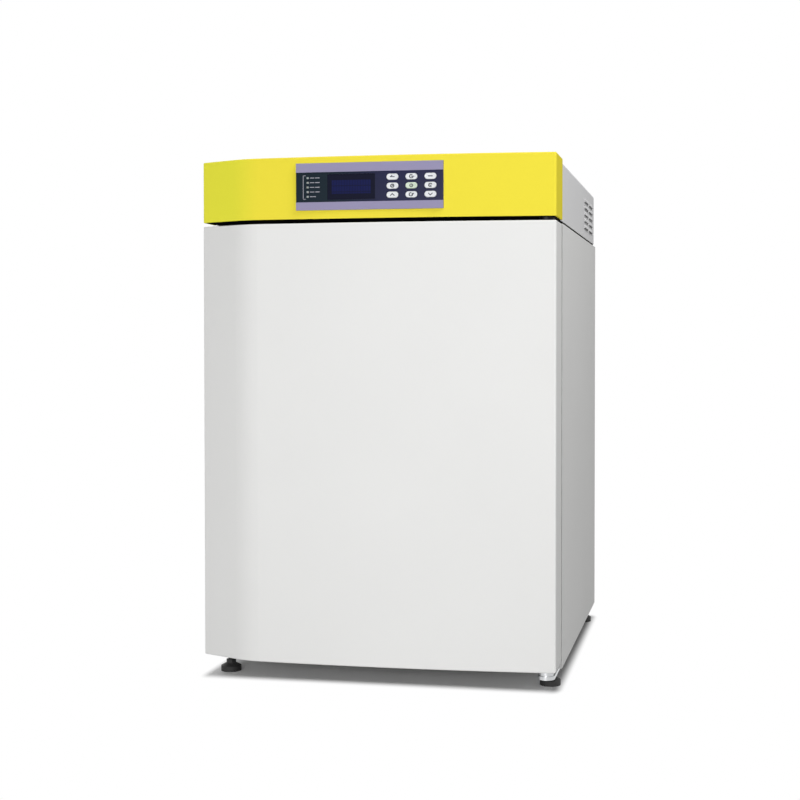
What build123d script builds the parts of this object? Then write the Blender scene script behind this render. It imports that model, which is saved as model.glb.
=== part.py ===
"""Front-door carbon dioxide incubator: insulated cabinet, bowed door, yellow control hood.

Frame: +X right as seen from the front, +Y to the rear, +Z up, millimetres. The origin lies on
the floor under the middle of the overall box.
"""
import os
from math import cos, radians, sin, sqrt, tan

from build123d import *

os.makedirs("parts", exist_ok=True)

# Overall size
WIDTH = 620.0
HEIGHT = 900.0
DEPTH = 710.0
BOW = 13.0
PANEL_PROUD = 2.0
REAR_REACH = 22.0

# Front plan: the facet set back along the left edge
FACET_X = -221.0
FACET_BACK = 33.0
FACET_BLEND = 120.0
EDGE_ROUND = 4.0
LIP_ROUND = 2.0

# Heights
FOOT_HEIGHT = 32.0
DOOR_LIFT = 12.0
HOOD_HEIGHT = 104.0
REVEAL = 6.0
DOOR_TOP_GAP = 7.0

# Sheets
SHEET = 1.2
SKIN = 1.5
PAN_SHEET = 2.0
SHELL = 3.0
FLANGE = 12.0

# Outer door and its hinge
DOOR_THICKNESS = 74.0
DOOR_GAP = 14.0
PANEL_SHEET = 2.0
HINGE_INSET = 20.0
HINGE_TO_BACK = 37.0
PIN_RADIUS = 6.0
RUNNING = 0.05
BUSH_WALL = 3.0
BUSH_DEPTH = 22.0
BUSH_FLANGE = 2.0
BUSH_FLANGE_RADIUS = 12.0
BRACKET_SHEET = 6.0
TOP_BRACKET_SHEET = 4.0
TOP_BRACKET_REACH = 48.0
BRACKET_NOSE = 14.0
GRIP_HEIGHT = 140.0
GRIP_DEPTH = 24.0
GRIP_WIDTH = 26.0
GASKET_WIDTH = 14.0
GASKET_BULB = 9.0
GASKET_BASE = 4.0
GASKET_MARGIN = 3.0
GASKET_CORNER = 14.0
SEAL_CLEAR = 0.3

# Insulated walls and chamber
WALL_SIDE = 70.0
WALL_TOP = 45.0
WALL_BOTTOM = 53.0
WALL_REAR = 88.0
FRAME_DEPTH = 24.0
COVE = 18.0
REBATE = 18.0
REBATE_DEPTH = 20.0
HEATER = 1.0
HEATER_MARGIN = 45.0
PORT_CLEARANCE = 0.5

# Inner glass door
GLASS = 5.0
GLASS_OVERLAP = 9.0
GLASS_DEPTH = 9.7
GLASS_CORNER = 18.0
INNER_SEAL_WIDTH = 8.0
INNER_SEAL_MARGIN = 1.0
INNER_PIN_X = 10.0
INNER_PIN_Y = 4.0
INNER_PIN_RADIUS = 2.0
KNUCKLE_RADIUS = 4.0
KNUCKLE_LENGTH = 24.0
CLAMP_HEIGHT = 40.0
CLAMP_REACH = 28.0
CLAMP_RELIEF = 6.0
EAR = 6.0
INNER_HINGE_MARGIN = 80.0
KNOB_INSET = 12.0
KNOB_RADIUS = 16.0
KNOB_PROUD = 10.0
KNOB_GROOVES = 12
KNOB_STEM = 5.0
KNOB_FLANGE = 9.0
KNOB_FLANGE_SHEET = 2.5
TONGUE_START = 4.1
TONGUE_SHEET = 3.9
TONGUE_WIDTH = 12.0
TONGUE_REACH = 28.5
CATCH_SHEET = 3.5
CATCH_REACH = 5.5
CATCH_HEIGHT = 24.0

# Shelves, racks and humidity pan
SHELF_COUNT = 3
SHELF_RISE = 130.0
SHELF_HEADROOM = 18.0
SHELF_HEIGHT = 12.0
SHELF_SETBACK = 28.0
SHELF_REAR_GAP = 30.0
SHELF_SIDE_GAP = 1.0
SLOT_COLUMN_COUNT = 4
SLOT_ROW_COUNT = 16
SLOT_BRIDGE = 14.0
RACK_STANDOFF = 2.0
RACK_SHEET = 1.5
RUNNER = 14.0
RACK_BOTTOM = 22.0
RACK_TOP = 60.0
SIT = 0.3
TRAY_INSET = 40.0
TRAY_HEIGHT = 40.0
TRAY_CORNER = 10.0

# Fan and roof fittings
FAN_SETBACK = 133.5
FAN_RADIUS = 62.0
FAN_HEIGHT = 24.0
FAN_DROP = 21.0
FAN_BLADES = 12
BLADE = 1.5
BLADE_CURVE = ((0.45, 0.0), (0.72, 12.0), (0.96, 32.0))
SHAFT_RADIUS = 3.0
SHROUD_HALF = 150.0
SHROUD_REACH = 95.0
SHROUD_DROP = 62.0
SHROUD_SLOT_COUNT = 7
INTAKE_RADIUS = 48.0
MOTOR_RADIUS = 34.0
MOTOR_HEIGHT = 50.0
MOTOR_FLANGE = 42.0
ROOF_INSET = 50.0
PROBE_SPACING = 35.0
SENSOR_SETBACK = 206.5
SENSOR_RADIUS = 10.0
SENSOR_DROP = 40.0
PROBE_RADIUS = 3.0
PROBE_DROP = 55.0
GAS_LINE_RADIUS = 3.0
GAS_LINE_BEND = 20.0
GAS_LINE_DROP = 14.0
GAS_LINE_SETBACK = 171.5

# Control panel on the hood
PANEL_X = -2.0
PANEL_RISE = 1.5
PANEL_W = 252.0
PANEL_H = 78.5
LAND_DEPTH = 2.5
BEZEL_PROUD = 1.5
OVERLAY_PROUD = 1.0
OVERLAY = 1.5
BAND_H = 50.0
BAND_DROP = 1.0
WINDOW_MARGIN = 8.0
BUTTON_W = 20.0
BUTTON_H = 10.2
BUTTON_PITCH_X = 32.2
BUTTON_PITCH_Z = 14.9
BUTTON_INSET = 53.6
BUTTON_CLEAR = 0.3
BUTTON_TRAVEL = 0.8
BUTTON_LIP = 1.2
DISPLAY_GAP_LEFT = 32.5
DISPLAY_GAP_RIGHT = 19.7
DISPLAY_H = 43.0
DISPLAY_FRAME = 4.0
LED_INSET = 20.3
LED_W = 3.4
LED_H = 2.8
LED_PITCH = 7.8
LED_COUNT = 5
BOARD_BACK = 9.5
BOARD = 1.6
SWITCH_SIZE = 6.0

# Top cover and its louvres
COVER_INSET = 3.5
COVER_BEND = 6.0
JOIN_GAP = 0.5
LOUVRE_LENGTH = 70.0
LOUVRE_HEIGHT = 7.0
LOUVRE_PROUD = 3.0
LOUVRE_PITCH = 13.0
LOUVRE_ROWS = 5
LOUVRE_COLUMNS = 2

# Rear fittings
PORT_INSET = 45.0
PORT_DROP = 145.0
PORT_BORE = 21.0
PORT_WALL = 3.0
PORT_RIM = 30.0
PLUG_LENGTH = 30.0
PLUG_HEAD = 26.0
PLUG_HEAD_LENGTH = 12.0
FITTING_BORE = 3.05
FITTING_BORE_DEPTH = 16.0
FITTING_COLLAR = 5.5
FITTING_BODY = 7.0
FITTING_LENGTH = 21.0
FITTING_NUT = 9.8
FITTING_NUT_LENGTH = 6.0
FITTING_RISE = 50.0
VALVE_LENGTH = 36.0
VALVE_HALF = 14.0
VALVE_FOOT_HALF = 10.0
COIL_RADIUS = 11.0
COIL_HEIGHT = 20.0
SUPPLY_SETBACK = 81.5
SUPPLY_LENGTH = 120.0
SUPPLY_WIDTH = 115.0
SUPPLY_HEIGHT = 30.0
FIN = 3.0
FIN_HEIGHT = 12.0
FIN_PITCH = 15.0
FIN_COUNT = 8
VENT_SLOT = 6.0
VENT_PITCH = 14.0
VENT_COUNT = 11
VENT_MARGIN = 28.0
INLET_INSET = 106.5
INLET_W = 58.0
INLET_H = 36.0
INLET_DEPTH = 26.0
SOCKET_W = 24.0
SOCKET_H = 16.5
SOCKET_DEPTH = 17.0
SOCKET_OFFSET = 11.0
BLADE_PIN = 2.0
BLADE_PIN_HEIGHT = 4.0
BLADE_PIN_RECESS = 5.0
BLADE_PIN_SPREAD = 7.0
BLADE_PIN_RISE = 2.0
ROCKER_OFFSET = 15.0
ROCKER_SETBACK = 6.0
ROCKER_RADIUS = 13.0
ROCKER_WIDTH = 12.0
ROCKER_TILT = 8.0
ROCKER_CLEAR = 0.4

# Levelling feet
FOOT_INSET = 22.0
FOOT_SETBACK = 18.0
FOOT_REAR = 42.0
FOOT_RADIUS = 18.0
FOOT_PAD = 9.0
FOOT_CONE = 5.0
FOOT_NUT = 6.0
STEM_RADIUS = 5.0
STEM_RISE = 28.0
STEM_CLEAR = 2.0
BOSS_RADIUS = 9.0
BOSS_HEIGHT = 18.0

# Places worked out from the sizes above
HALF = WIDTH / 2
EDGE = (BOW + PANEL_PROUD - DEPTH - REAR_REACH) / 2
APEX = EDGE - BOW
BOW_RADIUS = (HALF ** 2 + BOW ** 2) / (2 * BOW)
DOOR_BACK = EDGE + DOOR_THICKNESS
FRONT = DOOR_BACK + DOOR_GAP
REAR = EDGE + DEPTH
BODY_Z0 = FOOT_HEIGHT
HOOD_Z0 = HEIGHT - HOOD_HEIGHT
BODY_Z1 = HOOD_Z0 - REVEAL
DOOR_Z0 = BODY_Z0 + DOOR_LIFT
DOOR_Z1 = HOOD_Z0 - DOOR_TOP_GAP
HINGE_X = HALF - HINGE_INSET
HINGE_Y = DOOR_BACK - HINGE_TO_BACK
BUSH_RADIUS = PIN_RADIUS + BUSH_WALL
CORE_HALF = HALF - SHEET
CORE_Z0 = BODY_Z0 + PAN_SHEET + SHEET
CORE_Z1 = BODY_Z1 - SHEET
CORE_BACK = REAR - 2 * SHEET
CH_HALF = HALF - WALL_SIDE
CH_Z0 = BODY_Z0 + WALL_BOTTOM
CH_Z1 = BODY_Z1 - WALL_TOP
CH_FRONT = FRONT + FRAME_DEPTH
CH_BACK = REAR - WALL_REAR
CH_MID = (CH_Z0 + CH_Z1) / 2
SEAT = FRONT + REBATE_DEPTH
GLASS_FRONT = FRONT + GLASS_DEPTH
GLASS_BACK = GLASS_FRONT + GLASS
SHELF_FRONT = CH_FRONT + SHELF_SETBACK
SHELF_BACK = CH_BACK - SHELF_REAR_GAP
RACK_FACE = CH_HALF - RACK_STANDOFF - RACK_SHEET
SHELF_PITCH = (CH_Z1 - CH_Z0 - SHROUD_DROP - SHELF_RISE - SHELF_HEADROOM) / SHELF_COUNT
TRAY_HALF = CH_HALF - TRAY_INSET
ROOF_X = CH_HALF - ROOF_INSET
SENSOR_Y = CH_FRONT + SENSOR_SETBACK
GAS_LINE_Y = REAR - GAS_LINE_SETBACK
FAN_Y = CH_BACK - FAN_SETBACK
SHROUD_FRONT = FAN_Y - SHROUD_REACH
PORT_X = PORT_INSET - CH_HALF
PORT_Z = CH_Z1 - PORT_DROP
INNER_HINGE_HEIGHTS = (CH_Z0 + INNER_HINGE_MARGIN, CH_Z1 - INNER_HINGE_MARGIN)
PIN_X = CH_HALF + INNER_PIN_X
PIN_Y = FRONT + INNER_PIN_Y
KNOB_X = -(CH_HALF - KNOB_INSET)
GRIP_Y = DOOR_BACK - GRIP_WIDTH
GRIP_Z0 = (DOOR_Z0 + DOOR_Z1 - GRIP_HEIGHT) / 2
GRIP_Z1 = GRIP_Z0 + GRIP_HEIGHT
PANEL_Z = HOOD_Z0 + HOOD_HEIGHT / 2 + PANEL_RISE
LAND = APEX + LAND_DEPTH
COVER_HALF = HALF - COVER_INSET
BAND_Z = PANEL_Z - BAND_DROP
BOARD_Y = APEX + BOARD_BACK
FAN_TOP = CH_Z1 - FAN_DROP
SHROUD_BACK = CH_BACK - COVE - PORT_CLEARANCE
BUTTON_X = PANEL_W / 2 - BUTTON_INSET
LED_X = LED_INSET - PANEL_W / 2
DISPLAY_LEFT = LED_X + LED_W / 2 + DISPLAY_GAP_LEFT
DISPLAY_RIGHT = BUTTON_X - BUTTON_PITCH_X - BUTTON_W / 2 - DISPLAY_GAP_RIGHT
DISPLAY_X = (DISPLAY_LEFT + DISPLAY_RIGHT) / 2
DISPLAY_W = DISPLAY_RIGHT - DISPLAY_LEFT
FITTING_Z = HOOD_Z0 + FITTING_RISE
INLET_X = INLET_INSET - COVER_HALF
INLET_Z = FITTING_Z
SUPPLY_Y = REAR - SUPPLY_SETBACK - SUPPLY_LENGTH
STEM_TOP = BODY_Z0 + STEM_RISE
ROCKER_X = INLET_X + ROCKER_OFFSET
ROCKER_Y = REAR - ROCKER_SETBACK

# Feet, left to right and front to rear
FOOT_PLACES = [(side * (HALF - FOOT_INSET), y)
               for y in (FRONT + FOOT_SETBACK, REAR - FOOT_REAR) for side in (-1, 1)]


def block(x0, x1, y0, y1, z0, z1):
    """Box between two corners."""
    middle = ((x0 + x1) / 2, (y0 + y1) / 2, (z0 + z1) / 2)
    return Pos(*middle) * Box(x1 - x0, y1 - y0, z1 - z0)


def rod_x(y, z, x0, x1, radius):
    """Cylinder along X."""
    return Pos((x0 + x1) / 2, y, z) * Rot(0, 90, 0) * Cylinder(radius, x1 - x0)


def rod_y(x, z, y0, y1, radius):
    """Cylinder along Y."""
    return Pos(x, (y0 + y1) / 2, z) * Rot(90, 0, 0) * Cylinder(radius, y1 - y0)


def rod_z(x, y, z0, z1, radius):
    """Cylinder along Z."""
    return Pos(x, y, (z0 + z1) / 2) * Cylinder(radius, z1 - z0)


def polar(radius, angle):
    """Point in a plane at a radius and an angle in degrees."""
    return (radius * cos(radians(angle)), radius * sin(radians(angle)))


def slab_y(sketch, x, z, y0, y1):
    """Sketch in the XZ plane, centred on x and z, extruded from y0 to y1."""
    plane = Plane(origin=(x, y1, z), x_dir=(1, 0, 0), z_dir=(0, -1, 0))
    return extrude(plane * sketch, amount=y1 - y0)


def ring_y(half, z0, z1, corner, width, y0, y1):
    """Rounded rectangular ring that lies outside the given half width and heights."""
    height = z1 - z0
    outer = RectangleRounded(2 * (half + width), height + 2 * width, corner + width)
    inner = RectangleRounded(2 * half, height, corner)
    return slab_y(outer - inner, 0, (z0 + z1) / 2, y0, y1)


def front_plan(back, inset=0.0):
    """Plan of door and hood: a shallow bow, with the facet along the left edge."""
    facet_y = APEX + BOW_RADIUS - sqrt(BOW_RADIUS ** 2 - FACET_X ** 2)
    right = (HALF, EDGE)
    left = (-HALF, EDGE + FACET_BACK)
    facet = (FACET_X, facet_y)
    bow = ThreePointArc(right, (0, APEX), facet)
    rest = Polyline(facet, left, (-HALF, back), (HALF, back), right)
    face = make_face([bow, rest])
    corners = face.vertices()
    face = fillet(corners.sort_by_distance((*facet, 0))[0], FACET_BLEND)
    corners = face.vertices()
    ends = [corners.sort_by_distance((*right, 0))[0], corners.sort_by_distance((*left, 0))[0]]
    face = fillet(ends, EDGE_ROUND)
    if inset:
        face = offset(face, amount=-inset, kind=Kind.INTERSECTION)
    return face


def front_solid(back, z0, z1, inset=0.0):
    """The front plan as a solid between two heights."""
    return Pos(0, 0, z0) * extrude(front_plan(back, inset), amount=z1 - z0)


def round_lips(solid, back, z):
    """Round the front and side edges that lie at height z."""
    rim = solid.edges().filter_by(lambda e: abs(e.center().Z - z) < 0.1)
    rim = rim.filter_by(lambda e: e.center().Y < back - 0.1)
    return fillet(rim, LIP_ROUND)


def coved_box(half, z0, z1, y0, y1, radius):
    """Box whose long edges and rear edges are rounded, with a plain front."""
    body = block(-half, half, y0, y1, z0, z1)
    edges = body.edges().filter_by(Axis.Y) + body.faces().sort_by(Axis.Y)[-1].edges()
    return fillet(edges, radius)


def roof_holes(z0, z1, grow=0.0):
    """Holes for what passes through the chamber's roof."""
    clear = PORT_CLEARANCE + grow
    shaft = rod_z(0, FAN_Y, z0, z1, SHAFT_RADIUS + clear)
    sensor = rod_z(-ROOF_X, SENSOR_Y, z0, z1, SENSOR_RADIUS + clear)
    probe = rod_z(PROBE_SPACING - ROOF_X, SENSOR_Y, z0, z1, PROBE_RADIUS + clear)
    gas = rod_z(ROOF_X, GAS_LINE_Y, z0, z1, GAS_LINE_RADIUS + clear)
    return shaft + sensor + probe + gas


def base_pan():
    """Bottom sheet with a threaded boss over each foot."""
    pan = block(-CORE_HALF, CORE_HALF, FRONT, CORE_BACK, BODY_Z0, BODY_Z0 + PAN_SHEET)
    for x, y in FOOT_PLACES:
        pan += rod_z(x, y, BODY_Z0, BODY_Z0 + PAN_SHEET + BOSS_HEIGHT, BOSS_RADIUS)
    for x, y in FOOT_PLACES:
        top = BODY_Z0 + PAN_SHEET + BOSS_HEIGHT
        pan -= rod_z(x, y, BODY_Z0 - 1, top + 1, STEM_RADIUS + RUNNING)
    return pan


def side_panel(side):
    """Folded side sheet with returns along the top, bottom and rear."""
    outer, inner = side * HALF, side * CORE_HALF
    turn = side * (HALF - FLANGE)
    wall = block(*sorted((outer, inner)), FRONT, REAR, BODY_Z0, BODY_Z1)
    across = sorted((outer, turn))
    top = block(*across, FRONT, REAR, BODY_Z1 - SHEET, BODY_Z1)
    low = BODY_Z0 + PAN_SHEET
    bottom = block(*across, CH_FRONT, CORE_BACK, low, low + SHEET)
    back = block(*across, REAR - SHEET, REAR, BODY_Z0, BODY_Z1)
    panel = wall + top + bottom + back
    for x, y in FOOT_PLACES:
        panel -= rod_z(x, y, low - 1, low + SHEET + 1, BOSS_RADIUS + PORT_CLEARANCE)
    return panel


def rear_panel():
    """Rear sheet between the side panels' returns, with the hole for the access port."""
    sheet = block(-CORE_HALF, CORE_HALF, CORE_BACK, REAR - SHEET, BODY_Z0, CORE_Z1)
    hole = rod_y(PORT_X, PORT_Z, CORE_BACK - 1, REAR + 1, PORT_BORE + PORT_WALL)
    return sheet - hole


def front_frame():
    """Frame round the chamber's mouth, rebated for the inner door, and the catch on its left wall."""
    frame = block(-CORE_HALF, CORE_HALF, FRONT, CH_FRONT, BODY_Z0 + PAN_SHEET, CORE_Z1)
    height = CH_Z1 - CH_Z0
    mouth = RectangleRounded(2 * CH_HALF, height, COVE)
    rebate = RectangleRounded(2 * (CH_HALF + REBATE), height + 2 * REBATE, COVE + REBATE)
    frame -= slab_y(mouth, 0, CH_MID, FRONT - 1, CH_FRONT + 1)
    frame -= slab_y(rebate, 0, CH_MID, FRONT - 1, SEAT)
    for x, y in FOOT_PLACES:
        frame -= rod_z(x, y, BODY_Z0, STEM_TOP + STEM_CLEAR, BOSS_RADIUS + PORT_CLEARANCE)
    wall = -(CH_HALF + REBATE)
    low, high = CH_MID - CATCH_HEIGHT / 2, CH_MID + CATCH_HEIGHT / 2
    catch = block(wall, wall + CATCH_REACH, FRONT, FRONT + CATCH_SHEET, low, high)
    lead_in = catch.edges().filter_by(Axis.X).group_by(Axis.Z)[-1].sort_by(Axis.Y)[-1]
    return Compound([frame, chamfer(lead_in, CATCH_SHEET / 3)])


def equipment_deck():
    """Black tray over the insulation; its inset rim shows as the dark reveal line."""
    half, back = HALF - REVEAL, REAR - SHEET
    deck = block(-half, half, FRONT + REVEAL, back, BODY_Z1, HOOD_Z0)
    deck -= block(-half + SKIN, half - SKIN, FRONT + REVEAL + SKIN, back - SKIN, BODY_Z1 - 1, HOOD_Z0 - SKIN)
    deck += block(HINGE_X - BRACKET_NOSE, half, FRONT, FRONT + REVEAL, BODY_Z1, HOOD_Z0)
    return deck - roof_holes(BODY_Z1 - 1, HOOD_Z0 + 1)


def chamber_liner():
    """Stainless tub with coved corners, flanged at the front."""
    wall = SKIN
    outer = coved_box(CH_HALF + wall, CH_Z0 - wall, CH_Z1 + wall, CH_FRONT, CH_BACK + wall, COVE + wall)
    inner = coved_box(CH_HALF, CH_Z0, CH_Z1, CH_FRONT - 1, CH_BACK, COVE)
    liner = outer - inner
    liner += ring_y(CH_HALF, CH_Z0, CH_Z1, COVE, FLANGE, CH_FRONT, CH_FRONT + wall)
    liner -= roof_holes(CH_Z1 - 1, CH_Z1 + wall + 1)
    return liner - rod_y(PORT_X, PORT_Z, CH_BACK - 1, CH_BACK + wall + 1, PORT_BORE)


def heater_mats():
    """Flat heating mats on the outside of the liner: sides, floor and rear."""
    face = SKIN
    y0, y1 = CH_FRONT + HEATER_MARGIN, CH_BACK - HEATER_MARGIN
    z0, z1 = CH_Z0 + HEATER_MARGIN, CH_Z1 - HEATER_MARGIN
    x = CH_HALF + face
    left = block(-x - HEATER, -x, y0, y1, z0, z1)
    right = block(x, x + HEATER, y0, y1, z0, z1)
    floor = block(-CH_HALF + HEATER_MARGIN, CH_HALF - HEATER_MARGIN, y0, y1,
                  CH_Z0 - face - HEATER, CH_Z0 - face)
    rear_y = CH_BACK + face
    port_edge = PORT_X + PORT_BORE + PORT_WALL + HEATER_MARGIN / 2
    rear = block(port_edge, CH_HALF - HEATER_MARGIN, rear_y, rear_y + HEATER, z0, z1)
    return Compound([left, right, floor, rear])


def insulation_jacket():
    """Foam round the liner, with its pockets and holes."""
    jacket = block(-CORE_HALF, CORE_HALF, CH_FRONT, CORE_BACK, CORE_Z0, CORE_Z1)
    gap = SKIN + HEATER
    jacket -= coved_box(CH_HALF + gap, CH_Z0 - gap, CH_Z1 + gap, CH_FRONT - 1, CH_BACK + gap, COVE + gap)
    half, rise = CH_HALF + FLANGE, FLANGE
    step = RectangleRounded(2 * half, CH_Z1 - CH_Z0 + 2 * rise, COVE + FLANGE)
    jacket -= slab_y(step, 0, CH_MID, CH_FRONT - 1, CH_FRONT + SKIN)
    jacket -= roof_holes(CH_Z1, CORE_Z1 + 1, PORT_CLEARANCE)
    jacket -= rod_y(PORT_X, PORT_Z, CH_BACK, REAR, PORT_BORE + PORT_WALL)
    for x, y in FOOT_PLACES:
        jacket -= rod_z(x, y, CORE_Z0 - 1, STEM_TOP + STEM_CLEAR, BOSS_RADIUS + PORT_CLEARANCE)
    return jacket


def shelf_level(index):
    """Height of the runner that carries a shelf."""
    return CH_Z0 + SHELF_RISE + index * SHELF_PITCH


def shelf_rack(side):
    """Pressed side rack: windowed sheet, runners and standoffs to the liner."""
    z0, z1 = CH_Z0 + RACK_BOTTOM, CH_Z1 - RACK_TOP
    face, back = side * RACK_FACE, side * (RACK_FACE + RACK_SHEET)
    rack = block(*sorted((face, back)), SHELF_FRONT, SHELF_BACK, z0, z1)
    window_y = (SHELF_BACK - SHELF_FRONT) / 3
    for index in range(SHELF_COUNT):
        low = shelf_level(index) + SHELF_HEIGHT + SLOT_BRIDGE
        high = min(low + SHELF_PITCH - 4 * SLOT_BRIDGE, z1 - SLOT_BRIDGE)
        for column in range(3):
            y0 = SHELF_FRONT + column * window_y + SLOT_BRIDGE
            y1 = y0 + window_y - 2 * SLOT_BRIDGE
            rack -= block(*sorted((face - side, back + side)), y0, y1, low, high)
    tip = side * (RACK_FACE - RUNNER)
    for index in range(SHELF_COUNT):
        level = shelf_level(index)
        rack += block(*sorted((tip, face)), SHELF_FRONT, SHELF_BACK, level - RACK_SHEET, level)
    wall = side * CH_HALF
    for y in (SHELF_FRONT + SLOT_BRIDGE, SHELF_BACK - SLOT_BRIDGE):
        for z in (z0 + SLOT_BRIDGE, z1 - SLOT_BRIDGE / 2):
            rack += rod_x(y, z, *sorted((back, wall)), SLOT_BRIDGE / 4)
    return rack


def shelf(index):
    """Perforated shelf with turned-down edges, standing on its runners."""
    half = RACK_FACE - SHELF_SIDE_GAP
    z0 = shelf_level(index) + SIT
    z1 = z0 + SHELF_HEIGHT
    plate = block(-half, half, SHELF_FRONT, SHELF_BACK, z0, z1)
    plate -= block(-half + SKIN, half - SKIN, SHELF_FRONT + SKIN, SHELF_BACK - SKIN, z0 - 1, z1 - SKIN)
    step_x = (2 * half - SLOT_BRIDGE) / SLOT_COLUMN_COUNT
    step_y = (SHELF_BACK - SHELF_FRONT - SLOT_BRIDGE) / SLOT_ROW_COUNT
    slots = []
    for i in range(SLOT_COLUMN_COUNT):
        x0 = -half + SLOT_BRIDGE + i * step_x
        for j in range(SLOT_ROW_COUNT):
            y0 = SHELF_FRONT + SLOT_BRIDGE + j * step_y
            slots.append(block(x0, x0 + step_x - SLOT_BRIDGE, y0, y0 + step_y - SLOT_BRIDGE, z0, z1 + 1))
    return plate - slots


def humidity_pan():
    """Shallow water pan on the chamber floor."""
    z0 = CH_Z0 + SIT
    z1 = z0 + TRAY_HEIGHT
    outer = block(-TRAY_HALF, TRAY_HALF, SHELF_FRONT, SHELF_BACK, z0, z1)
    outer = fillet(outer.edges().filter_by(Axis.Z), TRAY_CORNER)
    inner = block(-TRAY_HALF + SKIN, TRAY_HALF - SKIN, SHELF_FRONT + SKIN, SHELF_BACK - SKIN,
                  z0 + SKIN, z1 + 1)
    inner = fillet(inner.edges().filter_by(Axis.Z), TRAY_CORNER - SKIN)
    return outer - inner


def fan_wheel():
    """Radial impeller with curved blades, its hub and its shaft."""
    top = FAN_TOP
    low = top - FAN_HEIGHT
    wheel = rod_z(0, 0, top - BLADE, top, FAN_RADIUS)
    wheel += rod_z(0, 0, low, top, 3 * SHAFT_RADIUS)
    wheel += rod_z(0, 0, top, HOOD_Z0 + MOTOR_HEIGHT / 2, SHAFT_RADIUS)
    root, mid, tip = (polar(FAN_RADIUS * share, -angle) for share, angle in BLADE_CURVE)
    curve = ThreePointArc(root, mid, tip)
    blade_face = trace(curve, BLADE)
    blade = Pos(0, 0, low) * extrude(blade_face, amount=FAN_HEIGHT)
    for index in range(FAN_BLADES):
        wheel += Rot(0, 0, 360 / FAN_BLADES * index) * blade
    return Pos(0, FAN_Y, 0) * wheel


def fan_shroud():
    """Cover hung under the roof: round intake with a spoked guard, slotted side walls."""
    z0 = CH_Z1 - SHROUD_DROP
    cover = block(-SHROUD_HALF, SHROUD_HALF, SHROUD_FRONT, SHROUD_BACK, z0, CH_Z1)
    cover = fillet(cover.edges().filter_by(Axis.Z), TRAY_CORNER)
    hollow = block(-SHROUD_HALF + SKIN, SHROUD_HALF - SKIN, SHROUD_FRONT + SKIN, SHROUD_BACK - SKIN,
                   z0 + SKIN, CH_Z1 + 1)
    cover -= fillet(hollow.edges().filter_by(Axis.Z), TRAY_CORNER - SKIN)
    cover -= rod_z(0, FAN_Y, z0 - 1, z0 + SKIN + 1, INTAKE_RADIUS)
    spoke = block(-INTAKE_RADIUS, INTAKE_RADIUS, -SKIN, SKIN, z0, z0 + SKIN)
    hub = rod_z(0, 0, z0, z0 + SKIN, INTAKE_RADIUS / 4)
    guard = hub + [Rot(0, 0, 60 * index) * spoke for index in range(3)]
    cover += Pos(0, FAN_Y, 0) * guard
    slot_z0, slot_z1 = z0 + SHROUD_DROP / 4, CH_Z1 - SHROUD_DROP / 4
    pitch = (SHROUD_BACK - SHROUD_FRONT) / (SHROUD_SLOT_COUNT + 1)
    for index in range(1, SHROUD_SLOT_COUNT + 1):
        y = SHROUD_FRONT + index * pitch
        cover -= block(-SHROUD_HALF - 1, SHROUD_HALF + 1, y - pitch / 4, y + pitch / 4, slot_z0, slot_z1)
    return cover


def fan_motor():
    """Fan motor on the deck, with a flange and the bore for the fan's shaft."""
    z0 = HOOD_Z0
    motor = rod_z(0, FAN_Y, z0, z0 + SHELL, MOTOR_FLANGE)
    motor += rod_z(0, FAN_Y, z0, z0 + MOTOR_HEIGHT, MOTOR_RADIUS)
    motor = chamfer(motor.edges().filter_by(GeomType.CIRCLE).sort_by(Axis.Z)[-1], SHELL)
    return motor - rod_z(0, FAN_Y, z0 - 1, z0 + MOTOR_HEIGHT / 2 + SIT, SHAFT_RADIUS + RUNNING)


def sensor_block():
    """Head on the deck with the gas sensor and the slimmer temperature probe through the roof."""
    sensor = rod_z(-ROOF_X, SENSOR_Y, CH_Z1 - SENSOR_DROP, HOOD_Z0, SENSOR_RADIUS)
    sensor = chamfer(sensor.edges().sort_by(Axis.Z)[0], SENSOR_RADIUS / 4)
    probe = rod_z(PROBE_SPACING - ROOF_X, SENSOR_Y, CH_Z1 - PROBE_DROP, HOOD_Z0, PROBE_RADIUS)
    probe = chamfer(probe.edges().sort_by(Axis.Z)[0], PROBE_RADIUS / 2)
    side = 2 * SENSOR_RADIUS
    head = block(-ROOF_X - side, PROBE_SPACING - ROOF_X + side, SENSOR_Y - side, SENSOR_Y + side,
                 HOOD_Z0, HOOD_Z0 + side)
    return sensor + probe + head


def inner_door_gasket():
    """Silicone seal on the frame's seat, round the mouth."""
    start = INNER_SEAL_MARGIN
    y0 = GLASS_BACK + SEAL_CLEAR
    return ring_y(CH_HALF + start, CH_Z0 - start, CH_Z1 + start, COVE + start, INNER_SEAL_WIDTH, y0, SEAT)


def inner_door_glass():
    """Tempered glass pane with a hole for the latch."""
    width = 2 * (CH_HALF + GLASS_OVERLAP)
    height = CH_Z1 - CH_Z0 + 2 * GLASS_OVERLAP
    pane = slab_y(RectangleRounded(width, height, GLASS_CORNER), 0, CH_MID, GLASS_FRONT, GLASS_BACK)
    return pane - rod_y(KNOB_X, CH_MID, GLASS_FRONT - 1, GLASS_BACK + 1, KNOB_STEM + RUNNING)


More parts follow.
